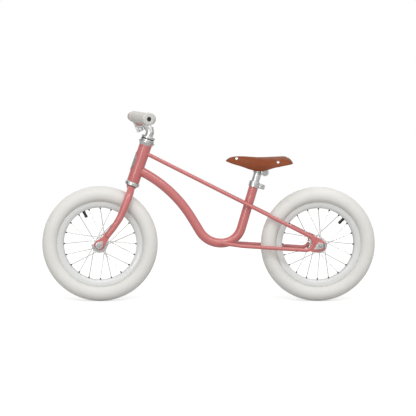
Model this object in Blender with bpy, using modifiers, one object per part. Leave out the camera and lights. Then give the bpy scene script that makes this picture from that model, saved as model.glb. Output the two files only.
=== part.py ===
"""Balance bike for a small child: a steel frame in bent tube, a fork with a threaded headset,
two spoked 12-inch wheels with air tyres, a quill stem with a swept handlebar, and a leather
saddle on a sliding seat post.

Metres, +Z up. The bike points along -X and its left side faces -Y. The origin is on the ground,
midway between the axles, in the centre plane. Every moving piece has its origin on its joint axis.
"""
import math

import bmesh
import bpy
from mathutils import Matrix, Vector

OBJECT_NAME = "balance_bike"
GAP = 0.0003                      # air left between two pieces that touch or are welded

# Wheels (12-inch: bead seat 203 mm, tyre 47 mm wide)
TYRE_RADIUS = 0.1485
HALF_WHEELBASE = 0.282
RIM_EDGE_RADIUS = 0.1097
RIM_INNER_RADIUS = 0.0937
WHEEL_STEPS = 32
HUB_HALF_WIDTH = 0.033
FLANGE_RADIUS = 0.0205
SPOKE_COUNT = 20
SPOKE_RADIUS = 0.0009
SPOKE_HOLE_RADIUS = 0.0175
SPOKE_CROSS_ANGLE = math.radians(36)
FRONT_VALVE_ANGLE = math.radians(117)
REAR_VALVE_ANGLE = math.radians(45)

# Axles, the plates that hold them, and their nuts
AXLE_RADIUS = 0.00475
SLOT_HALF_WIDTH = 0.0050
PLATE_THICKNESS = 0.005
FRONT_PLATE_Y = 0.042
REAR_PLATE_Y = 0.040
WASHER_THICKNESS = 0.0012
NUT_HEIGHT = 0.008
NUT_CORNER_RADIUS = 0.0081
AXLE_STICK_OUT = 0.0015
WASHER_RADIUS = 0.0088
WASHER_NOSE_RADIUS = 0.0012
TIP_RADIUS = 0.0128
TIP_NECK_RADIUS = 0.0075
TIP_REACH = 0.0360
TIP_SLOT_ANGLE = math.radians(225)
FRONT_TAB_ANGLE = math.radians(49)
REAR_TAB_ANGLE = math.radians(212)
FRONT_TAB_REACH = 0.0150
REAR_TAB_REACH = 0.0170

# Steering
HEAD_TILT = math.radians(19)
HEAD_FOOT = Vector((-0.1976, 0.0, 0.3090))
HEAD_LENGTH = 0.099
HEAD_RADIUS = 0.0162
HEAD_BORE = 0.0150
STEERER_RADIUS = 0.0127
STEERER_TOP = HEAD_LENGTH + 0.0222
QUILL_RADIUS = 0.01055
QUILL_FOOT = 0.062
STEM_BEND_START = 0.1311
STEM_BEND_RADIUS = 0.014
STEM_HEADING = math.radians(131)
BAR_CENTRE = Vector((-0.1813, 0.0, 0.4644))
BAR_RADIUS = 0.0111
BAR_MIDDLE_RADIUS = 0.0127
CLAMP_RADIUS = 0.0160
CLAMP_HALF_LENGTH = 0.019
EAR_WAY = Vector((0.40, 0.0, -0.92)).normalized()
EAR_LENGTH = 0.0258
EAR_OFFSET = 0.0090

# Frame tubes
MAIN_RADIUS = 0.0120
STAY_RADIUS = 0.0048
SEAT_ANGLE = math.radians(73.75)
SEAT_TUBE_TOP = Vector((0.1167, 0.0, 0.3087))
COLLAR_HEIGHT = 0.0143
COLLAR_RADIUS = 0.0142
POST_RADIUS = 0.0100
POST_BELOW = 0.075
POST_BORE_DEPTH = 0.100

# Saddle and its clamp
CLAMP_BOLT = Vector((0.1400, 0.0, 0.3355))
RAIL_RADIUS = 0.0030
RAIL_Y = 0.022
RAIL_Z = 0.3500
LEATHER = 0.0042
SADDLE_NOSE_X = 0.0410
SADDLE_LENGTH = 0.1720
SADDLE_RIDGE = ((0.0, 0.3650), (0.05, 0.3712), (0.13, 0.3748), (0.25, 0.3756), (0.49, 0.3735),
                (0.76, 0.3750), (0.88, 0.3756), (0.95, 0.3706), (1.0, 0.3600))
SADDLE_SKIRT = ((0.0, 0.3625), (0.094, 0.3562), (0.227, 0.3496), (0.36, 0.3419), (0.468, 0.3386),
                (0.561, 0.3408), (0.709, 0.3485), (0.895, 0.3551), (1.0, 0.3585))

# Grips
GRIP_INNER = Vector((-0.1940, 0.109, 0.4759))
GRIP_OUTER = Vector((-0.1530, 0.187, 0.4691))
GRIP_RADIUS = 0.0140
END_HOLE_RADIUS = 0.0055

STEER_AXIS = Vector((math.sin(HEAD_TILT), 0.0, math.cos(HEAD_TILT)))
STEER_FORWARD = Vector((-math.cos(HEAD_TILT), 0.0, math.sin(HEAD_TILT)))
SEAT_AXIS = Vector((math.cos(SEAT_ANGLE), 0.0, math.sin(SEAT_ANGLE)))
SEAT_BACK = Vector((math.sin(SEAT_ANGLE), 0.0, -math.cos(SEAT_ANGLE)))
FRONT_AXLE = Vector((-HALF_WHEELBASE, 0.0, TYRE_RADIUS))
REAR_AXLE = Vector((HALF_WHEELBASE, 0.0, TYRE_RADIUS))
SIDES = (("left", -1), ("right", 1))

# Colour, roughness, metallic
PINK = ((0.63, 0.25, 0.22), 0.28, 0.0)
CHROME = ((0.78, 0.78, 0.78), 0.15, 1.0)
STEEL = ((0.60, 0.60, 0.60), 0.35, 1.0)
DARK_STEEL = ((0.12, 0.12, 0.12), 0.40, 1.0)
WHITE_PAINT = ((0.76, 0.77, 0.75), 0.30, 0.0)
TYRE_RUBBER = ((0.78, 0.76, 0.72), 0.70, 0.0)
BLACK_RUBBER = ((0.02, 0.02, 0.02), 0.60, 0.0)
GRIP_RUBBER = ((0.74, 0.73, 0.70), 0.60, 0.0)
TAN_LEATHER = ((0.40, 0.14, 0.05), 0.50, 0.0)


# ---------------------------------------------------------------- scene and materials
def clear_scene():
    for item in list(bpy.data.objects):
        bpy.data.objects.remove(item, do_unlink=True)


def new_collection(name):
    collection = bpy.data.collections.new(name)
    bpy.context.scene.collection.children.link(collection)
    return collection


def finish_look(item, look):
    """Give the object a material of its own."""
    colour, roughness, metallic = look
    material = bpy.data.materials.new(item.name + "_material")
    material.use_nodes = True
    shader = material.node_tree.nodes["Principled BSDF"]
    shader.inputs["Base Color"].default_value = (*colour, 1.0)
    shader.inputs["Roughness"].default_value = roughness
    shader.inputs["Metallic"].default_value = metallic
    item.data.materials.clear()
    item.data.materials.append(material)


def as_part(item, look):
    parts_collection.objects.link(item)
    finish_look(item, look)
    return item


def as_cutter(item):
    cutters_collection.objects.link(item)
    item.hide_render = True
    item.display_type = "WIRE"
    return item


# ---------------------------------------------------------------- placing
def steering_point(height, forward=0.0, y=0.0):
    """A point by its height along the steering axis above the head tube's foot."""
    return HEAD_FOOT + STEER_AXIS * height + STEER_FORWARD * forward + Vector((0.0, y, 0.0))


def seat_point(height, back=0.0, y=0.0):
    """A point by its height along the seat tube above the tube's top."""
    return SEAT_TUBE_TOP + SEAT_AXIS * height + SEAT_BACK * back + Vector((0.0, y, 0.0))


def wheel_point(centre, angle, radius, y=0.0):
    return centre + Vector((radius * math.cos(angle), y, radius * math.sin(angle)))


def aim(origin, axis, spin=0.0):
    """A matrix that puts local +Z on the axis and local zero at the origin."""
    turn = Vector((0.0, 0.0, 1.0)).rotation_difference(Vector(axis).normalized())
    return Matrix.Translation(origin) @ turn.to_matrix().to_4x4() @ Matrix.Rotation(spin, 4, "Z")


def side_frame(origin, x_axis):
    """A matrix with local X along x_axis, local Y along world Y and local Z across both."""
    x_axis = Vector(x_axis).normalized()
    y_axis = Vector((0.0, 1.0, 0.0))
    z_axis = x_axis.cross(y_axis)
    columns = Matrix((x_axis, y_axis, z_axis)).transposed()
    return Matrix.Translation(origin) @ columns.to_4x4()


# ---------------------------------------------------------------- shapes
def object_from(name, mesh, matrix):
    item = bpy.data.objects.new(name, mesh)
    item.matrix_world = matrix
    return item


def turned(name, profile, matrix, steps=20, closed=True):
    """A turned piece: (radius, height) points, down the outer side and back up the inner one."""
    mesh = bpy.data.meshes.new(name)
    points = [(radius, 0.0, height) for radius, height in profile]
    edges = [(index, index + 1) for index in range(len(points) - 1)]
    if closed:
        edges.append((len(points) - 1, 0))
    mesh.from_pydata(points, edges, [])
    item = object_from(name, mesh, matrix)
    screw = item.modifiers.new("turn", "SCREW")
    screw.steps = steps
    screw.render_steps = steps
    screw.use_merge_vertices = True
    screw.merge_threshold = 0.00001
    screw.use_smooth_shade = True
    return item


def turned_solid(name, profile, matrix, steps=20):
    """A turned piece without a bore: the profile starts and ends on the axis."""
    top = (0.0, profile[0][1])
    bottom = (0.0, profile[-1][1])
    return turned(name, [top] + list(profile) + [bottom], matrix, steps, closed=False)


def ring(name, inner, outer, low, high, matrix, steps=20):
    profile = [(outer, high), (outer, low), (inner, low), (inner, high)]
    return turned(name, profile, matrix, steps)


def round_ring_profile(major, minor, height, count):
    """The circle that sweeps a torus, listed down its outer side."""
    turns = [math.pi / 2 - 2 * math.pi * index / count for index in range(count)]
    return [(major + minor * math.cos(turn), height + minor * math.sin(turn)) for turn in turns]


def cylinder_mesh(name, pieces, segments):
    """One mesh of straight cylinders, each given by start, end and radius."""
    shape = bmesh.new()
    for start, end, radius in pieces:
        length = (end - start).length
        matrix = aim((start + end) / 2, end - start)
        bmesh.ops.create_cone(shape, cap_ends=True, segments=segments, radius1=radius,
                              radius2=radius, depth=length, matrix=matrix)
    mesh = bpy.data.meshes.new(name)
    shape.to_mesh(mesh)
    shape.free()
    mesh.shade_smooth()
    mesh.set_sharp_from_angle(angle=math.radians(40))
    return mesh


def cylinder(name, start, end, radius, segments=16):
    return object_from(name, cylinder_mesh(name, [(start, end, radius)], segments), Matrix())


def box(name, size, matrix):
    shape = bmesh.new()
    bmesh.ops.create_cube(shape, size=1.0)
    bmesh.ops.scale(shape, vec=Vector(size), verts=shape.verts)
    mesh = bpy.data.meshes.new(name)
    shape.to_mesh(mesh)
    shape.free()
    return object_from(name, mesh, matrix)


def plate(name, outline, thickness, y):
    """A flat plate across Y from an outline of (x, z) points."""
    curve = bpy.data.curves.new(name, "CURVE")
    curve.dimensions = "2D"
    curve.fill_mode = "BOTH"
    curve.extrude = thickness / 2
    spline = curve.splines.new("POLY")
    spline.points.add(len(outline) - 1)
    for point, (x, z) in zip(spline.points, outline):
        point.co = (x, z, 0.0, 1.0)
    spline.use_cyclic_u = True
    item = bpy.data.objects.new(name, curve)
    item.matrix_world = Matrix.Translation((0.0, y, 0.0)) @ Matrix.Rotation(math.pi / 2, 4, "X")
    return mesh_from_curve(item)


def tube(name, points, radius, sides, radii=None, cyclic=False):
    """A round tube along points; radii are factors of its radius."""
    curve = bpy.data.curves.new(name, "CURVE")
    curve.dimensions = "3D"
    curve.bevel_depth = radius
    curve.bevel_resolution = (sides - 4) // 2
    curve.use_fill_caps = not cyclic
    spline = curve.splines.new("POLY")
    spline.points.add(len(points) - 1)
    for index, (point, place) in enumerate(zip(spline.points, points)):
        point.co = (*place, 1.0)
        point.radius = radii[index] if radii else 1.0
    spline.use_cyclic_u = cyclic
    return bpy.data.objects.new(name, curve)


def mesh_from_curve(item):
    """Turn a curve object into a closed mesh object of the same name and place."""
    bpy.context.scene.collection.objects.link(item)
    depsgraph = bpy.context.evaluated_depsgraph_get()
    mesh = bpy.data.meshes.new_from_object(item.evaluated_get(depsgraph))
    shape = bmesh.new()
    shape.from_mesh(mesh)
    bmesh.ops.remove_doubles(shape, verts=shape.verts, dist=0.000005)
    shape.to_mesh(mesh)
    shape.free()
    mesh.shade_smooth()
    mesh.set_sharp_from_angle(angle=math.radians(40))
    name = item.name
    matrix = item.matrix_world.copy()
    bpy.data.objects.remove(item, do_unlink=True)
    return object_from(name, mesh, matrix)


def combine(item, operation, operands):
    """Join other shapes to a mesh object or cut them from it."""
    for operand in operands:
        modifier = item.modifiers.new(operation.lower(), "BOOLEAN")
        modifier.operation = operation
        modifier.solver = "EXACT"
        modifier.object = as_cutter(operand)
    return item


# ---------------------------------------------------------------- paths
def rounded_path(corners, radii, spacing=math.radians(12)):
    """Straight runs between corners, each inner corner rounded to its radius by an arc."""
    corners = [Vector(corner) for corner in corners]
    path = [corners[0]]
    for before, corner, after, radius in zip(corners, corners[1:], corners[2:], radii):
        to_before = (before - corner).normalized()
        to_after = (after - corner).normalized()
        turn = math.pi - to_before.angle(to_after)
        reach = radius * math.tan(turn / 2)
        start = corner + to_before * reach
        middle = corner + (to_before + to_after).normalized() * (radius / math.cos(turn / 2))
        arm = start - middle
        across = -to_before
        steps = max(2, math.ceil(turn / spacing))
        for index in range(steps + 1):
            angle = turn * index / steps
            path.append(middle + arm * math.cos(angle) + across * radius * math.sin(angle))
    path.append(corners[-1])
    return path


def bent_path(start, heading, moves, spacing=math.radians(8)):
    """A bending schedule in the centre plane: lengths, and (radius, new heading) pairs."""
    x, z = start
    path = [Vector((x, 0.0, z))]
    for move in moves:
        if isinstance(move, float):
            x += move * math.cos(heading)
            z += move * math.sin(heading)
            path.append(Vector((x, 0.0, z)))
            continue
        radius, goal = move
        sense = math.copysign(1.0, goal - heading)
        centre_x = x - sense * radius * math.sin(heading)
        centre_z = z + sense * radius * math.cos(heading)
        steps = max(2, math.ceil(abs(goal - heading) / spacing))
        for index in range(1, steps + 1):
            angle = heading + (goal - heading) * index / steps
            x = centre_x + sense * radius * math.sin(angle)
            z = centre_z - sense * radius * math.cos(angle)
            path.append(Vector((x, 0.0, z)))
        heading = goal
    return path


def smooth_path(points, steps):
    """A Catmull-Rom curve through points of any dimension, given as tuples."""
    points = [Vector(point) for point in points]
    points = [2 * points[0] - points[1]] + points + [2 * points[-1] - points[-2]]
    path = []
    for a, b, c, d in zip(points, points[1:], points[2:], points[3:]):
        for index in range(steps):
            t = index / steps
            path.append(0.5 * (2 * b + (c - a) * t + (2 * a - 5 * b + 4 * c - d) * t * t
                               + (3 * b - a - 3 * c + d) * t ** 3))
    path.append(points[-2])
    return path


def arc_outline(centre, radius, start_degrees, end_degrees, steps):
    """(x, z) points along an arc."""
    turns = [math.radians(start_degrees + (end_degrees - start_degrees) * index / steps)
             for index in range(steps + 1)]
    return [(centre[0] + radius * math.cos(turn), centre[1] + radius * math.sin(turn)) for turn in turns]


def teardrop_outline(centre, radius, way, reach, nose_radius, steps):
    """(x, z) points round a disc drawn out to a smaller round nose, whose tip is reach away."""
    nose_distance = reach - nose_radius
    lean = math.degrees(math.acos((radius - nose_radius) / nose_distance))
    facing = math.degrees(way)
    nose = (centre.x + nose_distance * math.cos(way), centre.z + nose_distance * math.sin(way))
    disc_arc = arc_outline((centre.x, centre.z), radius, facing + lean, facing + 360 - lean, steps)
    return disc_arc + arc_outline(nose, nose_radius, facing - lean, facing + lean, 6)


# ---------------------------------------------------------------- frame
def main_tube_path():
    """From the head tube down in a long sweep, through the low point, up the seat tube."""
    down = math.radians(-58.5)
    path = bent_path((-0.1874, 0.3413), math.radians(-27.7),
                     [0.0174, (0.325, down), 0.040, (0.064, 0.0), 0.0012, (0.0537, SEAT_ANGLE)])
    path.append(SEAT_TUBE_TOP.copy())
    return path


def head_clearance(name):
    return cylinder(name, steering_point(-0.03), steering_point(HEAD_LENGTH + 0.03), HEAD_RADIUS + GAP, 32)


def make_head_tube():
    matrix = aim(HEAD_FOOT, STEER_AXIS)
    as_part(ring("head_tube", HEAD_BORE, HEAD_RADIUS, 0.0, HEAD_LENGTH, matrix), PINK)


def make_main_tube():
    item = mesh_from_curve(tube("main_tube", main_tube_path(), MAIN_RADIUS, 12))
    bore = cylinder("main_tube_bore", seat_point(-POST_BORE_DEPTH), seat_point(0.02),
                    POST_RADIUS + 0.0004, 24)
    combine(item, "DIFFERENCE", [head_clearance("main_tube_cope"), bore])
    as_part(item, PINK)


def line_crossing(first, first_angle, second, second_angle):
    """Where two lines in the centre plane meet."""
    run = second[0] - first[0]
    rise = second[1] - first[1]
    first_slope = math.tan(first_angle)
    second_slope = math.tan(second_angle)
    x = first[0] + (rise - run * second_slope) / (first_slope - second_slope)
    return x, first[1] + (x - first[0]) * first_slope


def stay_path(side):
    """One thin tube: from the head tube, past the seat tube, round the hairpin, back to the low point."""
    upper_angle = math.radians(-26.46)
    lower_angle = math.radians(-3.4)
    upper_start = (-0.1372, 0.3685)
    lower_start = (0.0774, 0.1465)
    corner_x, corner_z = line_crossing(upper_start, upper_angle, lower_start, lower_angle)

    def upper(x, y):
        return x, side * y, upper_start[1] + (x - upper_start[0]) * math.tan(upper_angle)

    corners = [upper(-0.170, 0.0056), upper(0.096, 0.0176), upper(0.205, REAR_PLATE_Y),
               (corner_x, side * REAR_PLATE_Y, corner_z), (0.0850, side * 0.0345, 0.1462),
               (0.0170, side * 0.0050, 0.1525)]
    return rounded_path(corners, [0.15, 0.10, 0.0195, 0.05])


def rear_plate_outline():
    """The dropout plate behind the hairpin, without its slot."""
    hairpin = (0.2464, 0.1558)
    hairpin_arc = arc_outline(hairpin, 0.0195, -75, 58, 8)
    top = [(0.2640, 0.1752), (0.2790, 0.1685), (0.2895, 0.1625)]
    nose = arc_outline((0.2845, 0.1480), 0.0140, 52, -48, 7)
    low = [(0.2860, 0.1338), (0.2780, 0.1323), (0.2640, 0.1318)]
    return list(reversed(low)) + list(reversed(nose)) + list(reversed(top)) + list(reversed(hairpin_arc))


def make_rear_stays():
    for side_name, side in SIDES:
        name = "rear_stay_" + side_name
        item = mesh_from_curve(tube(name, stay_path(side), STAY_RADIUS, 8))
        dropout = plate(name + "_plate", rear_plate_outline(), PLATE_THICKNESS, side * REAR_PLATE_Y)
        slot_size = (0.040, 2 * PLATE_THICKNESS, 2 * SLOT_HALF_WIDTH)
        plate_y = Vector((0.0, side * REAR_PLATE_Y, 0.0))
        slot_centre = REAR_AXLE + plate_y + Vector((0.020 - 0.004, 0.0, 0.0))
        slot = box(name + "_slot", slot_size, Matrix.Translation(slot_centre))
        slot_end = REAR_AXLE + plate_y - Vector((0.004, 0.0, 0.0))
        across = Vector((0.0, PLATE_THICKNESS, 0.0))
        round_end = cylinder(name + "_slot_end", slot_end - across, slot_end + across, SLOT_HALF_WIDTH, 16)
        main_clearance = mesh_from_curve(tube(name + "_main_cope", main_tube_path(), MAIN_RADIUS + GAP, 12))
        combine(item, "UNION", [dropout])
        combine(item, "DIFFERENCE", [slot, round_end, head_clearance(name + "_head_cope"), main_clearance])
        as_part(item, PINK)


def make_seat_collar():
    """A split band round the tube's end, with two ears behind it and a bolt across them."""
    low = -COLLAR_HEIGHT + 0.0015
    matrix = aim(SEAT_TUBE_TOP, SEAT_AXIS)
    item = ring("seat_clamp_collar", MAIN_RADIUS - 0.001, COLLAR_RADIUS, low, 0.0015, matrix)
    ear_centre = seat_point(-0.0062, 0.0200)
    ears = box("collar_ears", (0.0150, 0.0170, 0.0120), side_frame(ear_centre, SEAT_BACK))
    inside = cylinder("collar_inside", seat_point(-0.03), seat_point(0.02), MAIN_RADIUS + GAP, 28)
    split = box("collar_split", (0.0240, 0.0020, 0.0300), side_frame(seat_point(-0.006, 0.0220), SEAT_BACK))
    across = Vector((0.0, 0.02, 0.0))
    bolt_place = seat_point(-0.0062, 0.0215)
    hole = cylinder("collar_hole", bolt_place - across, bolt_place + across, 0.0029, 12)
    combine(item, "UNION", [ears])
    combine(item, "DIFFERENCE", [inside, split, hole])
    as_part(item, CHROME)
    face = 0.0085 + GAP
    bolt = [(0.0042, face + 0.0035), (0.0046, face + 0.0028), (0.0046, face), (0.0025, face),
            (0.0025, -face), (0.0046, -face), (0.0046, -face - 0.0035)]
    as_part(turned_solid("seat_clamp_bolt", bolt, aim(bolt_place, (0.0, -1.0, 0.0)), 12), STEEL)


def make_head_badge():
    """A plain oval plate bent round the front of the head tube."""
    middle = 0.0511
    matrix = aim(steering_point(middle), STEER_AXIS)
    item = ring("head_badge", HEAD_RADIUS + GAP, HEAD_RADIUS + 0.0015, -0.026, 0.026, matrix, 48)
    outline = cylinder("badge_outline", Vector((0, 0, 0)), Vector((0, 0, 0.03)), 1.0, 32)
    outline.data.transform(Matrix.Diagonal((0.0252, 0.0138, 1.0, 1.0)))
    columns = Matrix((STEER_AXIS, Vector((0.0, 1.0, 0.0)), STEER_FORWARD)).transposed()
    if columns.determinant() < 0:
        columns = Matrix((STEER_AXIS, Vector((0.0, -1.0, 0.0)), STEER_FORWARD)).transposed()
    outline.matrix_world = Matrix.Translation(steering_point(middle)) @ columns.to_4x4()
    combine(item, "INTERSECT", [outline])
    as_part(item, STEEL)


# ---------------------------------------------------------------- headset
def make_headset():
    top = aim(steering_point(HEAD_LENGTH), STEER_AXIS)
    foot = aim(HEAD_FOOT, STEER_AXIS)
    upper_cup = [(0.0210, 0.0100), (0.0210, 0.0078), (0.0166, GAP), (0.0147, GAP), (0.0147, -0.0090),
                 (0.0134, -0.0090), (0.0134, 0.0025), (0.0165, 0.0045), (0.0186, 0.0060), (0.0186, 0.0100)]
    as_part(turned("upper_headset_cup", upper_cup, top), CHROME)
    as_part(turned("upper_ball_cage", round_ring_profile(0.0164, 0.0016, 0.0066, 6), top), STEEL)
    adjusting = [(0.0178, 0.0160), (0.0178, 0.0106), (0.0155, 0.0093), (0.0139, 0.0064),
                 (0.0130, 0.0064), (0.0130, 0.0160)]
    as_part(turned("adjusting_race", adjusting, top), CHROME)
    as_part(ring("keyed_washer", 0.0130, 0.0164, 0.0163, 0.0178, top), DARK_STEEL)
    locknut = [(0.0164, 0.0246), (0.0174, 0.0236), (0.0174, 0.0191), (0.0166, 0.0181), (0.0130, 0.0181),
               (0.0130, 0.0225), (0.0112, 0.0225), (0.0112, 0.0246)]
    as_part(turned("headset_locknut", locknut, top), CHROME)
    lower_cup = [(0.0147, 0.0090), (0.0147, -GAP), (0.0166, -GAP), (0.0184, -0.0018), (0.0184, -0.0098),
                 (0.0176, -0.0098), (0.0176, -0.0054), (0.0156, -0.0036), (0.0134, -0.0024), (0.0134, 0.0090)]
    as_part(turned("lower_headset_cup", lower_cup, foot), CHROME)
    as_part(turned("lower_ball_cage", round_ring_profile(0.0154, 0.0016, -0.0066, 6), foot), STEEL)
    crown_race = [(0.0134, -0.0084), (0.0160, -0.0094), (0.0160, -0.0098), (0.0138, -0.0112),
                  (0.0130, -0.0112), (0.0130, -0.0084)]
    as_part(turned("crown_race", crown_race, foot), DARK_STEEL)


# ---------------------------------------------------------------- fork
def blade_points(side):
    """Centre line and radius of one fork blade, from the crown to the axle plate."""
    centre = [(-0.2005, 0.0062, 0.2985, 0.0088), (-0.2040, 0.0215, 0.2850, 0.0094),
              (-0.2088, 0.0330, 0.2700, 0.0098), (-0.2168, 0.0392, 0.2490, 0.0098),
              (-0.2287, 0.0412, 0.2210, 0.0089), (-0.2459, 0.0420, 0.1930, 0.0077),
              (-0.2622, 0.0420, 0.1718, 0.0072)]
    path = smooth_path(centre, 3)
    return [(x, side * y, z) for x, y, z, _ in path], [radius for _, _, _, radius in path]


def make_fork():
    crown = [(STEERER_RADIUS, STEERER_TOP), (STEERER_RADIUS, -0.0115), (0.0132, -0.0115), (0.0132, -0.0130),
             (0.0090, -0.0215)]
    item = turned_solid("fork", crown, aim(HEAD_FOOT, STEER_AXIS))
    joined = []
    slots = []
    slot_way = Vector((math.cos(TIP_SLOT_ANGLE), 0.0, math.sin(TIP_SLOT_ANGLE)))
    tip_outline = teardrop_outline(FRONT_AXLE, TIP_RADIUS, FRONT_TAB_ANGLE, TIP_REACH, TIP_NECK_RADIUS, 24)
    for side_name, side in SIDES:
        points, radii = blade_points(side)
        blade = mesh_from_curve(tube("blade_" + side_name, points, 1.0, 10, radii))
        race_space = cylinder("race_space_" + side_name, steering_point(-0.0116), steering_point(0.03),
                              0.035, 16)
        joined.append(combine(blade, "DIFFERENCE", [race_space]))
        centre = FRONT_AXLE + Vector((0.0, side * FRONT_PLATE_Y, 0.0))
        joined.append(plate("tip_" + side_name, tip_outline, PLATE_THICKNESS, side * FRONT_PLATE_Y))
        across = Vector((0.0, PLATE_THICKNESS, 0.0))
        slots.append(cylinder("tip_hole_" + side_name, centre - across, centre + across, SLOT_HALF_WIDTH, 16))
        slots.append(box("tip_slot_" + side_name, (0.0160, 2 * PLATE_THICKNESS, 2 * SLOT_HALF_WIDTH),
                         side_frame(centre + slot_way * 0.0080, slot_way)))
    bore = cylinder("steerer_bore", steering_point(0.020), steering_point(STEERER_TOP + 0.01),
                    QUILL_RADIUS + GAP, 24)
    combine(item, "UNION", joined)
    combine(item, "DIFFERENCE", slots + [bore])
    as_part(item, PINK)


# ---------------------------------------------------------------- wheels
def flatten_to(radius):
    """Corner radius of the wheel's polygon whose flats lie at this radius."""
    return radius / math.cos(math.pi / WHEEL_STEPS)


def wheel_ring(name, profile, centre):
    """A ring round an axle, with one flat facet straight below the axle."""
    scaled = [(flatten_to(radius), y) for radius, y in profile]
    matrix = aim(centre, (0.0, 1.0, 0.0), math.pi / WHEEL_STEPS)
    return turned(name, scaled, matrix, WHEEL_STEPS)


def tyre_profile():
    """An open section: bead, sidewall, tread, sidewall, bead, and back inside."""
    outside = [(0.1043, 0.0110), (0.1102, 0.0112), (0.1140, 0.0185), (0.1230, 0.0232), (0.1340, 0.0226),
               (0.1430, 0.0165), (TYRE_RADIUS, 0.0050)]
    inside = [(0.1440, 0.0055), (0.1365, 0.0176), (0.1270, 0.0199), (0.1115, 0.0120), (0.1043, 0.0080)]
    left = [(radius, -y) for radius, y in reversed(outside)]
    left_inside = [(radius, -y) for radius, y in reversed(inside)]
    return outside + left + left_inside + inside


def rim_profile():
    edge = RIM_EDGE_RADIUS
    half = [(edge, 0.0135), (edge, 0.0117), (0.1040, 0.0114), (0.1036, 0.0075), (0.1005, 0.0050)]
    back = [(RIM_INNER_RADIUS, 0.0080), (0.1010, 0.0130)]
    mirrored = [(radius, -y) for radius, y in reversed(half)]
    return half + mirrored + [(radius, -y) for radius, y in reversed(back)] + back


def hub_profile():
    half = [(0.0155, HUB_HALF_WIDTH), (0.0155, 0.0284), (FLANGE_RADIUS, 0.0284), (FLANGE_RADIUS, 0.0260),
            (0.0155, 0.0260), (0.0155, 0.0235), (0.0120, 0.0200)]
    bore = [(0.0070, 0.0249), (0.0132, 0.0249), (0.0132, HUB_HALF_WIDTH)]
    mirrored = [(radius, -y) for radius, y in reversed(half)]
    return half + mirrored + [(radius, -y) for radius, y in reversed(bore)] + bore


def spoke_runs(centre):
    """Twenty spokes, each flange's neighbours crossing once near the hub."""
    flange_y = 0.0272
    runs = []
    for index in range(SPOKE_COUNT):
        rim_angle = math.radians(90) + 2 * math.pi * index / SPOKE_COUNT
        side = -1 if index % 2 else 1
        lead = -1 if index % 4 < 2 else 1
        hub_angle = rim_angle + lead * SPOKE_CROSS_ANGLE
        start = wheel_point(centre, hub_angle, SPOKE_HOLE_RADIUS, side * (flange_y + lead * 0.00115))
        end = wheel_point(centre, rim_angle, RIM_INNER_RADIUS - 2 * GAP, side * 0.0015)
        tail = (start - end).normalized() * 0.0012
        runs.append((start + tail, end, SPOKE_RADIUS))
    return runs


def make_wheel(prefix, centre, valve_angle):
    as_part(wheel_ring(prefix + "_tyre", tyre_profile(), centre), TYRE_RUBBER)

    inner_tube = wheel_ring(prefix + "_inner_tube", round_ring_profile(0.1270, 0.0160, 0.0, 8), centre)
    valve = cylinder(prefix + "_valve", wheel_point(centre, valve_angle, 0.1150),
                     wheel_point(centre, valve_angle, 0.0840), 0.0039, 12)
    stem = cylinder(prefix + "_valve_stem", wheel_point(centre, valve_angle, 0.0860),
                    wheel_point(centre, valve_angle, 0.0780), 0.0026, 12)
    combine(inner_tube, "UNION", [valve, stem])
    as_part(inner_tube, BLACK_RUBBER)
    inward = wheel_point(centre, valve_angle, 0.0) - wheel_point(centre, valve_angle, 1.0)
    cap = [(0.0024, 0.0080), (0.0037, 0.0068), (0.0037, 0.0), (0.0029, 0.0), (0.0029, 0.0063)]
    cap_place = aim(wheel_point(centre, valve_angle, 0.0837), inward)
    as_part(turned_solid(prefix + "_valve_cap", cap, cap_place, 12), BLACK_RUBBER)

    rim = wheel_ring(prefix + "_rim", rim_profile(), centre)
    valve_hole = cylinder(prefix + "_valve_hole", wheel_point(centre, valve_angle, 0.1150),
                          wheel_point(centre, valve_angle, 0.0850), 0.0044, 12)
    combine(rim, "DIFFERENCE", [valve_hole])
    as_part(rim, WHITE_PAINT)

    hub = turned(prefix + "_hub_and_spokes", hub_profile(), aim(centre, (0.0, 1.0, 0.0)), 16)
    spoke_mesh = cylinder_mesh(prefix + "_spokes", spoke_runs(centre), 4)
    spokes = object_from(prefix + "_spokes", spoke_mesh, Matrix())
    combine(hub, "UNION", [spokes])
    as_part(hub, CHROME)

    for side_name, side in SIDES:
        bearing = ring(prefix + "_bearing_" + side_name, AXLE_RADIUS + GAP, 0.0129, 0.0252, 0.0326,
                       aim(centre, (0.0, side, 0.0)), 20)
        as_part(bearing, STEEL)


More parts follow.
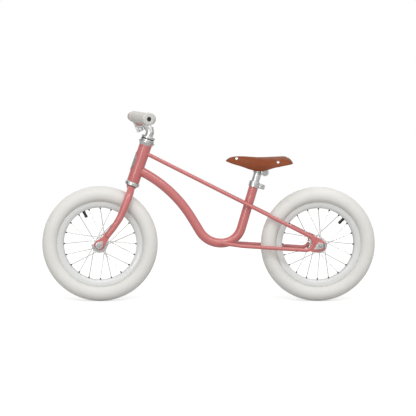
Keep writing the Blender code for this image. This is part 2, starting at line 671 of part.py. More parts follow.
def make_axle(prefix, centre, plate_y, tab_angle, tab_reach):
    """The axle with its two locknut collars, and outside each plate a tab washer and a nut."""
    inner_face = plate_y - PLATE_THICKNESS / 2 - GAP
    washer_low = plate_y + PLATE_THICKNESS / 2 + GAP
    nut_low = washer_low + WASHER_THICKNESS + GAP
    axle_end = nut_low + NUT_HEIGHT + AXLE_STICK_OUT
    half = [(AXLE_RADIUS, axle_end), (AXLE_RADIUS, inner_face), (0.0078, inner_face), (0.0078, 0.0333),
            (AXLE_RADIUS, 0.0333)]
    profile = half + [(radius, -y) for radius, y in reversed(half)]
    as_part(turned_solid(prefix + "_axle", profile, aim(centre, (0.0, 1.0, 0.0)), 16), STEEL)
    hole = AXLE_RADIUS + GAP
    outline = teardrop_outline(centre, WASHER_RADIUS, tab_angle, tab_reach, WASHER_NOSE_RADIUS, 20)
    across = Vector((0.0, axle_end, 0.0))
    for side_name, side in SIDES:
        matrix = aim(centre, (0.0, side, 0.0))
        washer = plate(prefix + "_tab_washer_" + side_name, outline, WASHER_THICKNESS,
                       side * (washer_low + WASHER_THICKNESS / 2))
        washer_hole = cylinder(prefix + "_washer_hole_" + side_name, centre - across, centre + across,
                               hole, 24)
        combine(washer, "DIFFERENCE", [washer_hole])
        as_part(washer, CHROME)
        hex_hole = hole / math.cos(math.pi / 6)
        nut = [(0.0072, nut_low + NUT_HEIGHT), (NUT_CORNER_RADIUS, nut_low + NUT_HEIGHT - 0.0009),
               (NUT_CORNER_RADIUS, nut_low), (hex_hole, nut_low), (hex_hole, nut_low + NUT_HEIGHT)]
        as_part(turned(prefix + "_axle_nut_" + side_name, nut, matrix, 6), CHROME)


# ---------------------------------------------------------------- stem and handlebar
def make_stem():
    """A gooseneck: quill up the steering axis, a bend forward, and a split clamp for the bar."""
    start = steering_point(QUILL_FOOT)
    path = bent_path((start.x, start.z), math.pi / 2 - HEAD_TILT,
                     [STEM_BEND_START - QUILL_FOOT, (STEM_BEND_RADIUS, STEM_HEADING), 0.027])
    item = mesh_from_curve(tube("quill_stem", path, QUILL_RADIUS, 14))
    ear_front = EAR_WAY.cross(Vector((0.0, 1.0, 0.0)))
    if ear_front.x > 0:
        ear_front = -ear_front
    ear_line = BAR_CENTRE + ear_front * EAR_OFFSET
    across = Vector((0.0, CLAMP_HALF_LENGTH, 0.0))
    barrel = cylinder("clamp_barrel", BAR_CENTRE - across, BAR_CENTRE + across, CLAMP_RADIUS, 24)
    ears = box("clamp_ears", (EAR_LENGTH, 0.0220, 0.0140),
               side_frame(ear_line + EAR_WAY * EAR_LENGTH / 2, EAR_WAY))
    bar_hole = cylinder("clamp_hole", BAR_CENTRE - 2 * across, BAR_CENTRE + 2 * across,
                        BAR_MIDDLE_RADIUS + GAP, 24)
    split = box("clamp_split", (0.0300, 0.0500, 0.0010), side_frame(ear_line + EAR_WAY * 0.0170, EAR_WAY))
    bolt_place = ear_line + EAR_WAY * 0.0213
    reach = ear_front * 0.012
    pinch_hole = cylinder("pinch_hole", bolt_place - reach, bolt_place + reach, 0.0029, 12)
    expander_hole = cylinder("expander_hole", steering_point(0.05), steering_point(0.19), 0.0034, 12)
    spot_face = cylinder("pinch_spot_face", bolt_place - ear_front * 0.0070, bolt_place - reach, 0.0050, 16)
    head_seat = cylinder("expander_seat", steering_point(0.1420), steering_point(0.19), 0.0056, 16)
    combine(item, "UNION", [barrel, ears])
    combine(item, "DIFFERENCE", [bar_hole, split, pinch_hole, spot_face, expander_hole, head_seat,
                                 quill_slope(0.0)])
    as_part(item, CHROME)

    wedge_matrix = aim(HEAD_FOOT, STEER_AXIS)
    wedge = ring("stem_wedge", 0.0034, QUILL_RADIUS - 0.0003, QUILL_FOOT - 0.020, QUILL_FOOT + 0.020,
                 wedge_matrix)
    combine(wedge, "DIFFERENCE", [quill_slope(0.0395)])
    as_part(wedge, STEEL)

    expander = [(0.0050, 0.1490), (0.0050, 0.1423), (0.0030, 0.1423), (0.0030, QUILL_FOOT - 0.0210),
                (0.0052, QUILL_FOOT - 0.0210), (0.0052, QUILL_FOOT - 0.0250)]
    as_part(turned_solid("stem_expander_bolt", expander, wedge_matrix, 12), STEEL)

    face = 0.0070 + GAP
    pinch = [(0.0026, 0.0066), (0.0026, -face), (0.0046, -face), (0.0046, -face - 0.0030)]
    as_part(turned_solid("stem_clamp_bolt", pinch, aim(bolt_place, ear_front), 12), STEEL)


def quill_slope(rise):
    """The slanted block that ends the quill, or with a rise the one that tops its wedge."""
    tilt = Matrix.Rotation(math.radians(25), 4, "Y")
    place = aim(steering_point(QUILL_FOOT - 0.0095), STEER_AXIS) @ tilt @ Matrix.Translation((0.0, 0.0, rise))
    return box("quill_slope", (0.060, 0.060, 0.040), place)


def grip_frame(side):
    """Origin at the grip's inner end, axis along the grip and outward."""
    inner = Vector((GRIP_INNER.x, side * GRIP_INNER.y, GRIP_INNER.z))
    outer = Vector((GRIP_OUTER.x, side * GRIP_OUTER.y, GRIP_OUTER.z))
    return inner, (outer - inner).normalized(), (outer - inner).length


def handlebar_path():
    """From grip to grip through the clamp, with a factor for the thicker middle at each point."""
    inner, way, length = grip_frame(1)
    bar_end = inner + way * (length - 0.0045)
    corner = inner - way * 0.0105
    straight_end = BAR_CENTRE + Vector((0.0, 0.0220, 0.0))
    run = corner - straight_end
    thick_end = straight_end + run * 0.20
    taper_end = straight_end + run * 0.40
    bend = rounded_path([taper_end, corner, bar_end], [0.026], math.radians(9))
    half = [BAR_CENTRE, straight_end, thick_end] + bend
    thick = BAR_MIDDLE_RADIUS / BAR_RADIUS
    factors = [thick] * 3 + [1.0] * len(bend)
    mirrored = [Vector((point.x, -point.y, point.z)) for point in reversed(half[1:])]
    return mirrored + half, list(reversed(factors[1:])) + factors


def make_handlebar():
    path, factors = handlebar_path()
    item = mesh_from_curve(tube("handlebar", path, BAR_RADIUS, 12, factors))
    bores = []
    for side_name, side in SIDES:
        inner, way, length = grip_frame(side)
        end = inner + way * (length - 0.0045)
        bores.append(cylinder("bar_bore_" + side_name, end - way * 0.016, end + way * 0.01, 0.0093, 16))
    combine(item, "DIFFERENCE", bores)
    as_part(item, PINK)
    item_origin_on(item, BAR_CENTRE)
    for side_name, side in SIDES:
        inner, way, _ = grip_frame(side)
        matrix = aim(inner, way)
        bore = BAR_RADIUS + GAP
        bar_length = length - 0.0045 + GAP
        grip = [(0.0130, length), (0.0150, length - 0.0014), (0.0156, length - 0.0040),
                (0.0156, length - 0.0080), (GRIP_RADIUS, length - 0.0115), (GRIP_RADIUS - 0.0003, 0.0130),
                (GRIP_RADIUS - 0.0003, 0.0118), (GRIP_RADIUS, 0.0100), (GRIP_RADIUS, 0.0030),
                (GRIP_RADIUS - 0.0018, 0.0), (bore, 0.0), (bore, bar_length),
                (END_HOLE_RADIUS + GAP, bar_length), (END_HOLE_RADIUS + GAP, length)]
        as_part(turned("grip_" + side_name, grip, matrix, 20), GRIP_RUBBER)
        plug = [(0.0045, length - 0.0004), (END_HOLE_RADIUS, length - 0.0012),
                (END_HOLE_RADIUS, bar_length - 0.0006), (0.0089, bar_length - 0.0006),
                (0.0089, bar_length - 0.0120)]
        as_part(turned_solid("bar_end_plug_" + side_name, plug, matrix, 16), BLACK_RUBBER)


def item_origin_on(item, point):
    """Move an object's origin to a point and leave its shape where it is."""
    shift = item.matrix_world.inverted() @ point
    item.data.transform(Matrix.Translation(-shift))
    item.matrix_world = item.matrix_world @ Matrix.Translation(shift)


# ---------------------------------------------------------------- seat
def make_seat_post():
    top = (CLAMP_BOLT - SEAT_TUBE_TOP).dot(SEAT_AXIS) + 0.0090
    profile = [(POST_RADIUS - 0.0008, top), (POST_RADIUS, top - 0.0008), (POST_RADIUS, -POST_BELOW + 0.001),
               (POST_RADIUS - 0.001, -POST_BELOW)]
    as_part(turned_solid("seat_post", profile, aim(SEAT_TUBE_TOP, SEAT_AXIS)), CHROME)


def make_saddle_clamp():
    """A band on the post's top with a barrel behind it, and two rail lugs on one bolt."""
    height = (CLAMP_BOLT - SEAT_TUBE_TOP).dot(SEAT_AXIS)
    matrix = aim(SEAT_TUBE_TOP, SEAT_AXIS)
    item = ring("saddle_clamp", POST_RADIUS - 0.001, 0.0122, height - 0.008, height + 0.008, matrix)
    half = Vector((0.0, 0.0145, 0.0))
    barrel = cylinder("clamp_core", CLAMP_BOLT - half, CLAMP_BOLT + half, 0.0088, 20)
    post_space = cylinder("clamp_post_space", seat_point(height - 0.03), seat_point(height + 0.03),
                          POST_RADIUS + GAP, 24)
    bolt_hole = cylinder("clamp_bolt_space", CLAMP_BOLT - 2 * half, CLAMP_BOLT + 2 * half, 0.0034, 12)
    combine(item, "UNION", [barrel])
    combine(item, "DIFFERENCE", [post_space, bolt_hole])
    as_part(item, STEEL)
    lug_low = 0.0145 + GAP
    lug_high = 0.0285
    for side_name, side in SIDES:
        frame = aim(CLAMP_BOLT, (0.0, side, 0.0))
        lug = ring("saddle_lug_" + side_name, 0.0034, 0.0100, lug_low, lug_high, frame)
        jaw_centre = Vector((CLAMP_BOLT.x, side * (lug_low + lug_high) / 2, RAIL_Z - 0.0018))
        jaw = box("lug_jaw_" + side_name, (0.0200, lug_high - lug_low - 0.0004, 0.0150),
                  Matrix.Translation(jaw_centre))
        reach = Vector((0.05, 0.0, 0.0))
        rail_place = Vector((CLAMP_BOLT.x, side * RAIL_Y, RAIL_Z))
        groove = cylinder("lug_groove_" + side_name, rail_place - reach, rail_place + reach,
                          RAIL_RADIUS + GAP, 16)
        hole_y = Vector((0.0, side * 0.05, 0.0))
        hole = cylinder("lug_hole_" + side_name, CLAMP_BOLT, CLAMP_BOLT + hole_y, 0.0034, 12)
        combine(lug, "UNION", [jaw])
        combine(lug, "DIFFERENCE", [groove, hole])
        as_part(lug, CHROME)
    face = lug_high + GAP
    bolt = [(0.0060, face + 0.0045), (0.0066, face + 0.0035), (0.0066, face), (0.0030, face), (0.0030, -face),
            (0.0066, -face), (0.0066, -face - 0.0045)]
    as_part(turned_solid("saddle_clamp_bolt", bolt, aim(CLAMP_BOLT, (0.0, -1.0, 0.0)), 12), STEEL)


def make_saddle_frame():
    """One steel wire bent into both rails, the rear bow and the nose bow."""
    left = [(0.0745, 0.0045, 0.3580), (0.0790, 0.0055, 0.3560), (0.0840, 0.0072, 0.3545),
            (0.1010, 0.0130, 0.3522), (0.1170, 0.0205, 0.3504), (0.1250, RAIL_Y, RAIL_Z),
            (0.1300, RAIL_Y, RAIL_Z), (0.1520, RAIL_Y, RAIL_Z), (0.1580, RAIL_Y, RAIL_Z),
            (0.1760, 0.0280, 0.3520), (0.1900, 0.0290, 0.3570), (0.1960, 0.0160, 0.3600)]
    right = [(x, -y, z) for x, y, z in reversed(left)]
    loop = left + right
    path = smooth_path(loop + loop[:1], 2)[:-1]
    item = mesh_from_curve(tube("saddle_frame", path, RAIL_RADIUS, 8, cyclic=True))
    as_part(item, STEEL)


def saddle_half_width(x):
    """Half the saddle's width at a place along its length, 0 at the nose and 1 at the tail."""
    return 0.0095 + 0.0485 * (0.5 - 0.5 * math.cos(math.pi * min(1.0, x / 0.82))) ** 1.25


def height_along(points, x):
    """Height at x on a smooth curve through (share of the length, height) points."""
    last = len(points) - 1
    index = max(step for step in range(last) if points[step][0] <= x)

    def slope(at):
        before, after = points[max(0, at - 1)], points[min(last, at + 1)]
        return (after[1] - before[1]) / (after[0] - before[0])

    (start, low), (end, high) = points[index], points[index + 1]
    run = end - start
    t = (x - start) / run
    blend = t * t * (3 - 2 * t)
    return (low + (high - low) * blend + run * slope(index) * t * (1 - t) ** 2
            - run * slope(index + 1) * t * t * (1 - t))


def saddle_section(x):
    """Points across the leather at one place: from the left skirt over the top to the right."""
    place = SADDLE_NOSE_X + SADDLE_LENGTH * x
    end_round = math.sqrt(max(0.0, 1 - ((x - 0.90) / 0.105) ** 2)) if x > 0.90 else 1.0
    nose_round = math.sqrt(max(0.0, 1 - ((0.07 - x) / 0.075) ** 2)) if x < 0.07 else 1.0
    width = saddle_half_width(x) * end_round * nose_round
    top = height_along(SADDLE_RIDGE, x)
    depth = top - height_along(SADDLE_SKIRT, x)
    points = []
    for index in range(9):
        across = -1 + 2 * index / 8
        y = width * math.sin(across * math.pi / 2)
        drop = depth * abs(across) ** 2.4
        points.append(Vector((place, y, top - drop)))
    return points


def make_saddle_cover():
    """The leather: a saddle-shaped sheet, open below, given its thickness inward."""
    stations = [index / 18 for index in range(19)]
    stations[0] = 0.003
    stations[-1] = 0.992
    rows = [saddle_section(x) for x in stations]
    shape = bmesh.new()
    grid = [[shape.verts.new(point) for point in row] for row in rows]
    for row, next_row in zip(grid, grid[1:]):
        for a, b, c, d in zip(row, row[1:], next_row[1:], next_row):
            shape.faces.new((a, d, c, b))
    mesh = bpy.data.meshes.new("saddle_cover")
    shape.to_mesh(mesh)
    shape.free()
    mesh.shade_smooth()
    item = object_from("saddle_cover", mesh, Matrix())
    thick = item.modifiers.new("leather", "SOLIDIFY")
    thick.thickness = LEATHER
    thick.offset = -1.0
    as_part(item, TAN_LEATHER)


clear_scene()
parts_collection = new_collection(OBJECT_NAME)
cutters_collection = new_collection("cutters")

make_head_tube()
make_main_tube()
make_rear_stays()
make_seat_collar()
make_head_badge()
make_headset()
make_fork()
make_wheel("front", FRONT_AXLE, FRONT_VALVE_ANGLE)
make_wheel("rear", REAR_AXLE, REAR_VALVE_ANGLE)
make_axle("front", FRONT_AXLE, FRONT_PLATE_Y, FRONT_TAB_ANGLE, FRONT_TAB_REACH)
make_axle("rear", REAR_AXLE, REAR_PLATE_Y, REAR_TAB_ANGLE, REAR_TAB_REACH)
make_stem()
make_handlebar()
make_seat_post()
make_saddle_clamp()
make_saddle_frame()
make_saddle_cover()
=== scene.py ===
"""The looks of a balance bike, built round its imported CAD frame.

Metres, +Z up, the bike points along -X and its left side faces -Y.
"""

import math

import bmesh
import bpy
from mathutils import Matrix, Vector


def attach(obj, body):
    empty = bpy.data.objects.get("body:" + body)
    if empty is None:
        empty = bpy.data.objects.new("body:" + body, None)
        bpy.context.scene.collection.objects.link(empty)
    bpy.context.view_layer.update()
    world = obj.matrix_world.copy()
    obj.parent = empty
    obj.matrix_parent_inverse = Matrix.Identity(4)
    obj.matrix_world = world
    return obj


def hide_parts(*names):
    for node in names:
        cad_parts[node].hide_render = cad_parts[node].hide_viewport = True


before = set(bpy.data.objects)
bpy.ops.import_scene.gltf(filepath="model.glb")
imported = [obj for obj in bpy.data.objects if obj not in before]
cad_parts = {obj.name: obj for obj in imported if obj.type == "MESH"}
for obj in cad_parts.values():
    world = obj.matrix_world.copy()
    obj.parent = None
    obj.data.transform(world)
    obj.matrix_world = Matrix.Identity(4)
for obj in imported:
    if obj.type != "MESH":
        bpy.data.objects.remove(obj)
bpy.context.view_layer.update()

# The studio. Each part of the sky: its axis, where it begins and is full, and its strength.
SKY_FLOOR = 0.22
SKY_PARTS = (("Z", 0.15, 0.85, 0.55), ("Y", -0.05, -0.65, 0.85),
             ("Y", 0.10, 0.80, 0.55), ("X", 0.2, 0.9, 0.25))
# Each lamp: its name, place, size and power.
LAMPS = (("overhead", (0.10, -1.50, 2.20), (3.0, 0.45), 20),
         ("side_strip", (-1.15, -2.50, 0.75), (0.22, 1.8), 10))
LAMP_TARGET = (0.0, 0.0, 0.22)
FLOOR_REACH = 3.4
FLOOR_LIFT = 0.62
CAMERA_PLACE = Vector((-0.110, -2.800, 0.470))
CAMERA_TARGET = Vector((-0.0042, 0.0, 0.2415))
CAMERA_ROLL = math.radians(0.34)
CAMERA_LENS = 94.2

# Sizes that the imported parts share
GAP = 0.0003
WELD_DISTANCE = 0.000005
CORNER_STEP = math.radians(3)
BEND_STEP = math.radians(2.5)
BEAD_POINTS = 72
TYRE_RADIUS = 0.1485
HALF_WHEELBASE = 0.282
PITCH_COUNT = 26
PITCH = 2 * math.pi * 0.145 / PITCH_COUNT
TREAD_LOW_RADIUS = 0.138
TREAD_DEPTH = 0.0013
# Each cut of the tread: its ends (along one pitch, from the middle) and its half width.
TREAD_CUTS = (((0.002, 0.0105), (0.020, 0.0140), 0.0012), ((0.020, 0.0140), (0.0295, 0.0186), 0.0012),
              ((0.004, 0.0040), (0.026, 0.0085), 0.0011), ((0.010, 0.0070), (0.014, 0.0118), 0.0010))
RIM_EDGE_RADIUS = 0.1097
RIM_INNER_RADIUS = 0.0937
SPOKE_COUNT = 20
SPOKE_HOLE_RADIUS = 0.0175
SPOKE_CROSS_ANGLE = math.radians(36)
FLANGE_Y = 0.0272
FLANGE_RADIUS = 0.0205
AXLE_RADIUS = 0.00475
SLOT_HALF_WIDTH = 0.0050
PLATE_THICKNESS = 0.005
FRONT_TAB_ANGLE = math.radians(49)
REAR_TAB_ANGLE = math.radians(212)
FRONT_TAB_REACH = 0.0150
REAR_TAB_REACH = 0.0170
WASHER_RADIUS = 0.0088
WASHER_NOSE_RADIUS = 0.0012
TIP_RADIUS = 0.0128
TIP_NECK_RADIUS = 0.0075
TIP_REACH = 0.0360
TIP_SLOT_ANGLE = math.radians(225)
HEAD_TILT = math.radians(19)
HEAD_FOOT = Vector((-0.1976, 0.0, 0.3090))
HEAD_LENGTH = 0.099
HEAD_RADIUS = 0.0162
STEERER_RADIUS = 0.0127
QUILL_RADIUS = 0.01055
STEM_BEND_START = 0.1311
STEM_BEND_RADIUS = 0.014
STEM_HEADING = math.radians(131)
BAR_CENTRE = Vector((-0.1813, 0.0, 0.4644))
BAR_RADIUS = 0.0111
BAR_MIDDLE_RADIUS = 0.0127
CLAMP_RADIUS = 0.0160
CLAMP_HALF_LENGTH = 0.019
EAR_WAY = Vector((0.40, 0.0, -0.92)).normalized()
EAR_LENGTH = 0.0258
EAR_OFFSET = 0.0090
MAIN_RADIUS = 0.0120
STAY_RADIUS = 0.0048
HAIRPIN_CENTRE = (0.2464, 0.1558)
HAIRPIN_RADIUS = 0.0195
BADGE_HALF_HEIGHT = 0.0245
BADGE_HALF_WIDTH = 0.0134
BADGE_POINTS = 64
VALVE_BASE_RADIUS = 0.0975
CAP_FOOT_RADIUS = 0.0839
CAP_RIBS = 18
WASHER_THICKNESS = 0.0018
NUT_HEIGHT = 0.0080
THREAD_PITCH = 0.0010
REAR_PLATE_Y = 0.040
FRONT_PLATE_Y = 0.042
SEAT_ANGLE = math.radians(73.75)
SEAT_TUBE_TOP = Vector((0.1167, 0.0, 0.3087))
COLLAR_RADIUS = 0.0142
POST_RADIUS = 0.0100
CLAMP_BOLT = Vector((0.1400, 0.0, 0.3355))
RAIL_RADIUS = 0.0030
RAIL_Y = 0.022
RAIL_Z = 0.3500
LEATHER = 0.0042
SADDLE_NOSE_X = 0.0410
SADDLE_LENGTH = 0.1720
SADDLE_RIDGE = ((0.0, 0.3650), (0.05, 0.3712), (0.13, 0.3748), (0.25, 0.3756), (0.49, 0.3735),
                (0.76, 0.3750), (0.88, 0.3756), (0.95, 0.3706), (1.0, 0.3600))
SADDLE_SKIRT = ((0.0, 0.3625), (0.094, 0.3562), (0.227, 0.3496), (0.36, 0.3419), (0.468, 0.3386),
                (0.561, 0.3408), (0.709, 0.3485), (0.895, 0.3551), (1.0, 0.3585))
GRIP_INNER = Vector((-0.1940, 0.109, 0.4759))
GRIP_OUTER = Vector((-0.1530, 0.187, 0.4691))
GRIP_RADIUS = 0.0140
END_HOLE_RADIUS = 0.0055

STEER_AXIS = Vector((math.sin(HEAD_TILT), 0.0, math.cos(HEAD_TILT)))
STEER_FORWARD = Vector((-math.cos(HEAD_TILT), 0.0, math.sin(HEAD_TILT)))
SEAT_AXIS = Vector((math.cos(SEAT_ANGLE), 0.0, math.sin(SEAT_ANGLE)))
SEAT_BACK = Vector((math.sin(SEAT_ANGLE), 0.0, -math.cos(SEAT_ANGLE)))
FRONT_AXLE = Vector((-HALF_WHEELBASE, 0.0, TYRE_RADIUS))
REAR_AXLE = Vector((HALF_WHEELBASE, 0.0, TYRE_RADIUS))
Y_AXIS = Vector((0.0, 1.0, 0.0))
SIDES = (("left", -1), ("right", 1))


# ---------------------------------------------------------------- materials
def srgb(red, green, blue):
    """A linear colour from 8-bit display values."""
    def linear(value):
        value /= 255
        return value / 12.92 if value <= 0.04045 else ((value + 0.055) / 1.055) ** 2.4
    return linear(red), linear(green), linear(blue), 1.0


class Look:
    """A procedural material, built up step by step on a Principled shader."""

    def __init__(self, name, colour, roughness, metallic=0.0):
        self.material = bpy.data.materials.new(name)
        self.material.use_nodes = True
        self.tree = self.material.node_tree
        self.shader = self.tree.nodes["Principled BSDF"]
        self.set("Base Color", colour)
        self.set("Roughness", roughness)
        self.set("Metallic", metallic)
        self.coordinates = self.node("TexCoord").outputs["Object"]
        self.last_bump = None

    def node(self, kind):
        return self.tree.nodes.new("ShaderNode" + kind)

    def link(self, source, target):
        self.tree.links.new(source, target)

    def set(self, socket, value):
        self.shader.inputs[socket].default_value = value
        return self

    def stretched(self, stretch):
        mapping = self.node("Mapping")
        mapping.inputs["Scale"].default_value = stretch
        self.link(self.coordinates, mapping.inputs["Vector"])
        return mapping.outputs["Vector"]

    def noise(self, scale, detail, stretch=None):
        texture = self.node("TexNoise")
        texture.inputs["Scale"].default_value = scale
        texture.inputs["Detail"].default_value = detail
        source = self.stretched(stretch) if stretch else self.coordinates
        self.link(source, texture.inputs["Vector"])
        return texture.outputs["Fac"]

    def cells(self, scale):
        texture = self.node("TexVoronoi")
        texture.feature = "DISTANCE_TO_EDGE"
        texture.inputs["Scale"].default_value = scale
        self.link(self.coordinates, texture.inputs["Vector"])
        return texture.outputs["Distance"]

    def edges(self):
        """How much a surface point sticks out: about 0.5 where it is flat."""
        return self.node("NewGeometry").outputs["Pointiness"]

    def height(self):
        """How high up the object the point is, in metres."""
        parts = self.node("SeparateXYZ")
        self.link(self.coordinates, parts.inputs["Vector"])
        return parts.outputs["Z"]

    def remap(self, value, from_low, from_high, to_low, to_high):
        ramp = self.node("MapRange")
        for socket, number in (("From Min", from_low), ("From Max", from_high),
                               ("To Min", to_low), ("To Max", to_high)):
            ramp.inputs[socket].default_value = number
        self.link(value, ramp.inputs["Value"])
        return ramp.outputs["Result"]

    def tint(self, amount, colour):
        """Mix another colour over the base where amount is high."""
        target = self.shader.inputs["Base Color"]
        mix = self.node("Mix")
        mix.data_type = "RGBA"
        if target.is_linked:
            self.link(target.links[0].from_socket, mix.inputs["A"])
            self.tree.links.remove(target.links[0])
        else:
            mix.inputs["A"].default_value = tuple(target.default_value)
        mix.inputs["B"].default_value = colour
        self.link(amount, mix.inputs["Factor"])
        self.link(mix.outputs["Result"], target)

    def blotches(self, scale, detail, low, high, amount, colour):
        """Cloudy patches of another colour."""
        self.tint(self.remap(self.noise(scale, detail), low, high, 0.0, amount), colour)

    def edge_wear_and_painted_shade(self, low, high, amount, colour):
        """Worn colour along the edges, or painted shade in the corners if low is above high."""
        self.tint(self.remap(self.edges(), low, high, 0.0, amount), colour)

    def vary_roughness(self, scale, detail, low, high, stretch=None):
        value = self.remap(self.noise(scale, detail, stretch), 0.3, 0.7, low, high)
        self.link(value, self.shader.inputs["Roughness"])

    def grain(self, scale, detail, depth, strength, stretch=None):
        self.bump(self.noise(scale, detail, stretch), depth, strength)

    def bump(self, height, distance, strength):
        """Stack a relief of this depth in metres on the earlier ones."""
        relief = self.node("Bump")
        relief.inputs["Strength"].default_value = strength
        relief.inputs["Distance"].default_value = distance
        self.link(height, relief.inputs["Height"])
        if self.last_bump:
            self.link(self.last_bump, relief.inputs["Normal"])
        self.last_bump = relief.outputs["Normal"]
        self.link(self.last_bump, self.shader.inputs["Normal"])


def make_pink_paint():
    look = Look("pink_powder_coat", srgb(196, 108, 106), 0.28)
    look.set("Coat Weight", 1.0).set("Coat Roughness", 0.05).set("Specular IOR Level", 0.45)
    look.blotches(9.0, 2.0, 0.35, 0.7, 0.12, srgb(191, 102, 100))
    look.vary_roughness(60.0, 4.0, 0.26, 0.34)
    look.grain(900.0, 2.0, 0.00003, 0.25)
    return look.material


def make_chrome():
    look = Look("chrome_plate", srgb(226, 227, 226), 0.12, 1.0)
    look.blotches(40.0, 4.0, 0.45, 0.75, 0.4, srgb(205, 205, 203))
    # Painted shade: a darker grey in the corners and recesses of the chrome.
    look.edge_wear_and_painted_shade(0.46, 0.38, 0.6, srgb(120, 118, 115))
    look.vary_roughness(180.0, 5.0, 0.07, 0.19)
    look.grain(1400.0, 2.0, 0.00001, 0.25, (1.0, 6.0, 1.0))
    return look.material


def make_steel():
    look = Look("zinc_steel", srgb(196, 196, 194), 0.34, 1.0)
    look.blotches(120.0, 5.0, 0.4, 0.75, 0.5, srgb(165, 165, 162))
    # Painted shade: a darker grey in the corners and recesses of the steel.
    look.edge_wear_and_painted_shade(0.46, 0.38, 0.6, srgb(90, 88, 86))
    look.vary_roughness(260.0, 5.0, 0.26, 0.44, (1.0, 8.0, 1.0))
    look.grain(2200.0, 2.0, 0.00002, 0.3, (1.0, 9.0, 1.0))
    return look.material


def make_dark_steel():
    look = Look("dark_steel", srgb(74, 74, 74), 0.42, 1.0)
    look.blotches(150.0, 4.0, 0.4, 0.7, 0.5, srgb(54, 52, 50))
    look.edge_wear_and_painted_shade(0.54, 0.62, 0.7, srgb(120, 118, 116))
    look.vary_roughness(300.0, 4.0, 0.34, 0.52)
    look.grain(1800.0, 2.0, 0.00002, 0.4)
    return look.material


def make_white_paint():
    look = Look("rim_enamel", srgb(216, 217, 215), 0.24)
    look.set("Coat Weight", 0.5).set("Coat Roughness", 0.10)
    look.blotches(14.0, 3.0, 0.4, 0.7, 0.35, srgb(208, 209, 206))
    # Painted shade: a darker grey in the corners of the rim.
    look.edge_wear_and_painted_shade(0.47, 0.40, 0.5, srgb(168, 168, 162))
    look.vary_roughness(90.0, 4.0, 0.18, 0.30)
    look.grain(1100.0, 2.0, 0.00004, 0.3)
    return look.material


def make_tyre_rubber():
    look = Look("off_white_rubber", srgb(222, 221, 217), 0.62)
    look.set("Specular IOR Level", 0.35)
    look.blotches(22.0, 5.0, 0.38, 0.72, 0.35, srgb(211, 209, 203))
    look.blotches(240.0, 4.0, 0.55, 0.75, 0.25, srgb(205, 200, 190))
    # Painted shade: darker grey in the tread cuts and other corners of the tyre.
    look.edge_wear_and_painted_shade(0.47, 0.40, 0.7, srgb(150, 146, 138))
    look.vary_roughness(70.0, 5.0, 0.54, 0.74)
    look.grain(650.0, 4.0, 0.00012, 0.35)
    look.grain(2600.0, 2.0, 0.00004, 0.3)
    return look.material


def make_grip_rubber():
    look = Look("grip_rubber", srgb(204, 202, 197), 0.55)
    look.set("Specular IOR Level", 0.35)
    look.blotches(35.0, 4.0, 0.4, 0.7, 0.3, srgb(202, 200, 194))
    # Painted shade: darker in the corners and grooves of the grip.
    look.edge_wear_and_painted_shade(0.47, 0.40, 0.6, srgb(160, 157, 150))
    look.vary_roughness(110.0, 4.0, 0.46, 0.64)
    look.bump(look.cells(900.0), 0.00012, 0.35)
    return look.material


def make_black_rubber():
    look = Look("black_rubber", srgb(26, 26, 26), 0.55)
    look.blotches(120.0, 4.0, 0.45, 0.75, 0.5, srgb(44, 43, 42))
    look.vary_roughness(200.0, 4.0, 0.42, 0.62)
    look.grain(1500.0, 2.0, 0.00004, 0.4)
    return look.material


def make_leather():
    look = Look("brown_leather", srgb(131, 62, 24), 0.52)
    look.set("Specular IOR Level", 0.28).set("Coat Weight", 0.05).set("Coat Roughness", 0.3)
    look.blotches(26.0, 5.0, 0.36, 0.72, 0.5, srgb(122, 54, 20))
    look.blotches(160.0, 4.0, 0.5, 0.8, 0.3, srgb(152, 82, 42))
    # Painted shade: the leather gets darker towards the lower edge of the skirt.
    look.tint(look.remap(look.height(), 0.357, 0.340, 0.0, 0.55), srgb(104, 48, 20))
    look.edge_wear_and_painted_shade(0.54, 0.62, 0.4, srgb(176, 112, 72))
    look.vary_roughness(90.0, 5.0, 0.40, 0.58)
    look.bump(look.cells(700.0), 0.00016, 0.45)
    look.grain(90.0, 6.0, 0.00030, 0.35)
    return look.material


def make_leather_edge():
    look = Look("raw_leather", srgb(120, 74, 48), 0.75)
    look.blotches(300.0, 5.0, 0.4, 0.7, 0.6, srgb(88, 52, 32))
    look.grain(900.0, 5.0, 0.00020, 0.7)
    return look.material


def make_nipple():
    look = Look("dark_nipple", srgb(96, 96, 96), 0.38, 1.0)
    look.blotches(200.0, 3.0, 0.4, 0.7, 0.5, srgb(70, 69, 68))
    look.vary_roughness(400.0, 3.0, 0.30, 0.48)
    look.grain(2000.0, 2.0, 0.00002, 0.3)
    return look.material


def make_floor():
    """Matt pale paper, lifted to the white of the backdrop where it is looked at."""
    look = Look("pale_floor", srgb(190, 190, 189), 0.9)
    look.set("Specular IOR Level", 0.1).set("Emission Color", (1.0, 1.0, 1.0, 1.0))
    look.blotches(3.0, 3.0, 0.35, 0.7, 0.2, srgb(187, 187, 186))
    look.grain(300.0, 3.0, 0.0001, 0.1)
    looked_at = look.node("LightPath").outputs["Is Camera Ray"]
    look.link(look.remap(looked_at, 0.0, 1.0, 0.0, FLOOR_LIFT), look.shader.inputs["Emission Strength"])
    return look.material


PINK = make_pink_paint()
CHROME = make_chrome()
STEEL = make_steel()
DARK_STEEL = make_dark_steel()
WHITE_PAINT = make_white_paint()
TYRE_RUBBER = make_tyre_rubber()
GRIP_RUBBER = make_grip_rubber()
BLACK_RUBBER = make_black_rubber()
LEATHER_SKIN = make_leather()
LEATHER_EDGE = make_leather_edge()
NIPPLE = make_nipple()


# ---------------------------------------------------------------- placing
def steering_point(height):
    return HEAD_FOOT + STEER_AXIS * height


def seat_point(height, back=0.0):
    return SEAT_TUBE_TOP + SEAT_AXIS * height + SEAT_BACK * back


def wheel_point(centre, angle, radius, y=0.0):
    return centre + Vector((radius * math.cos(angle), y, radius * math.sin(angle)))


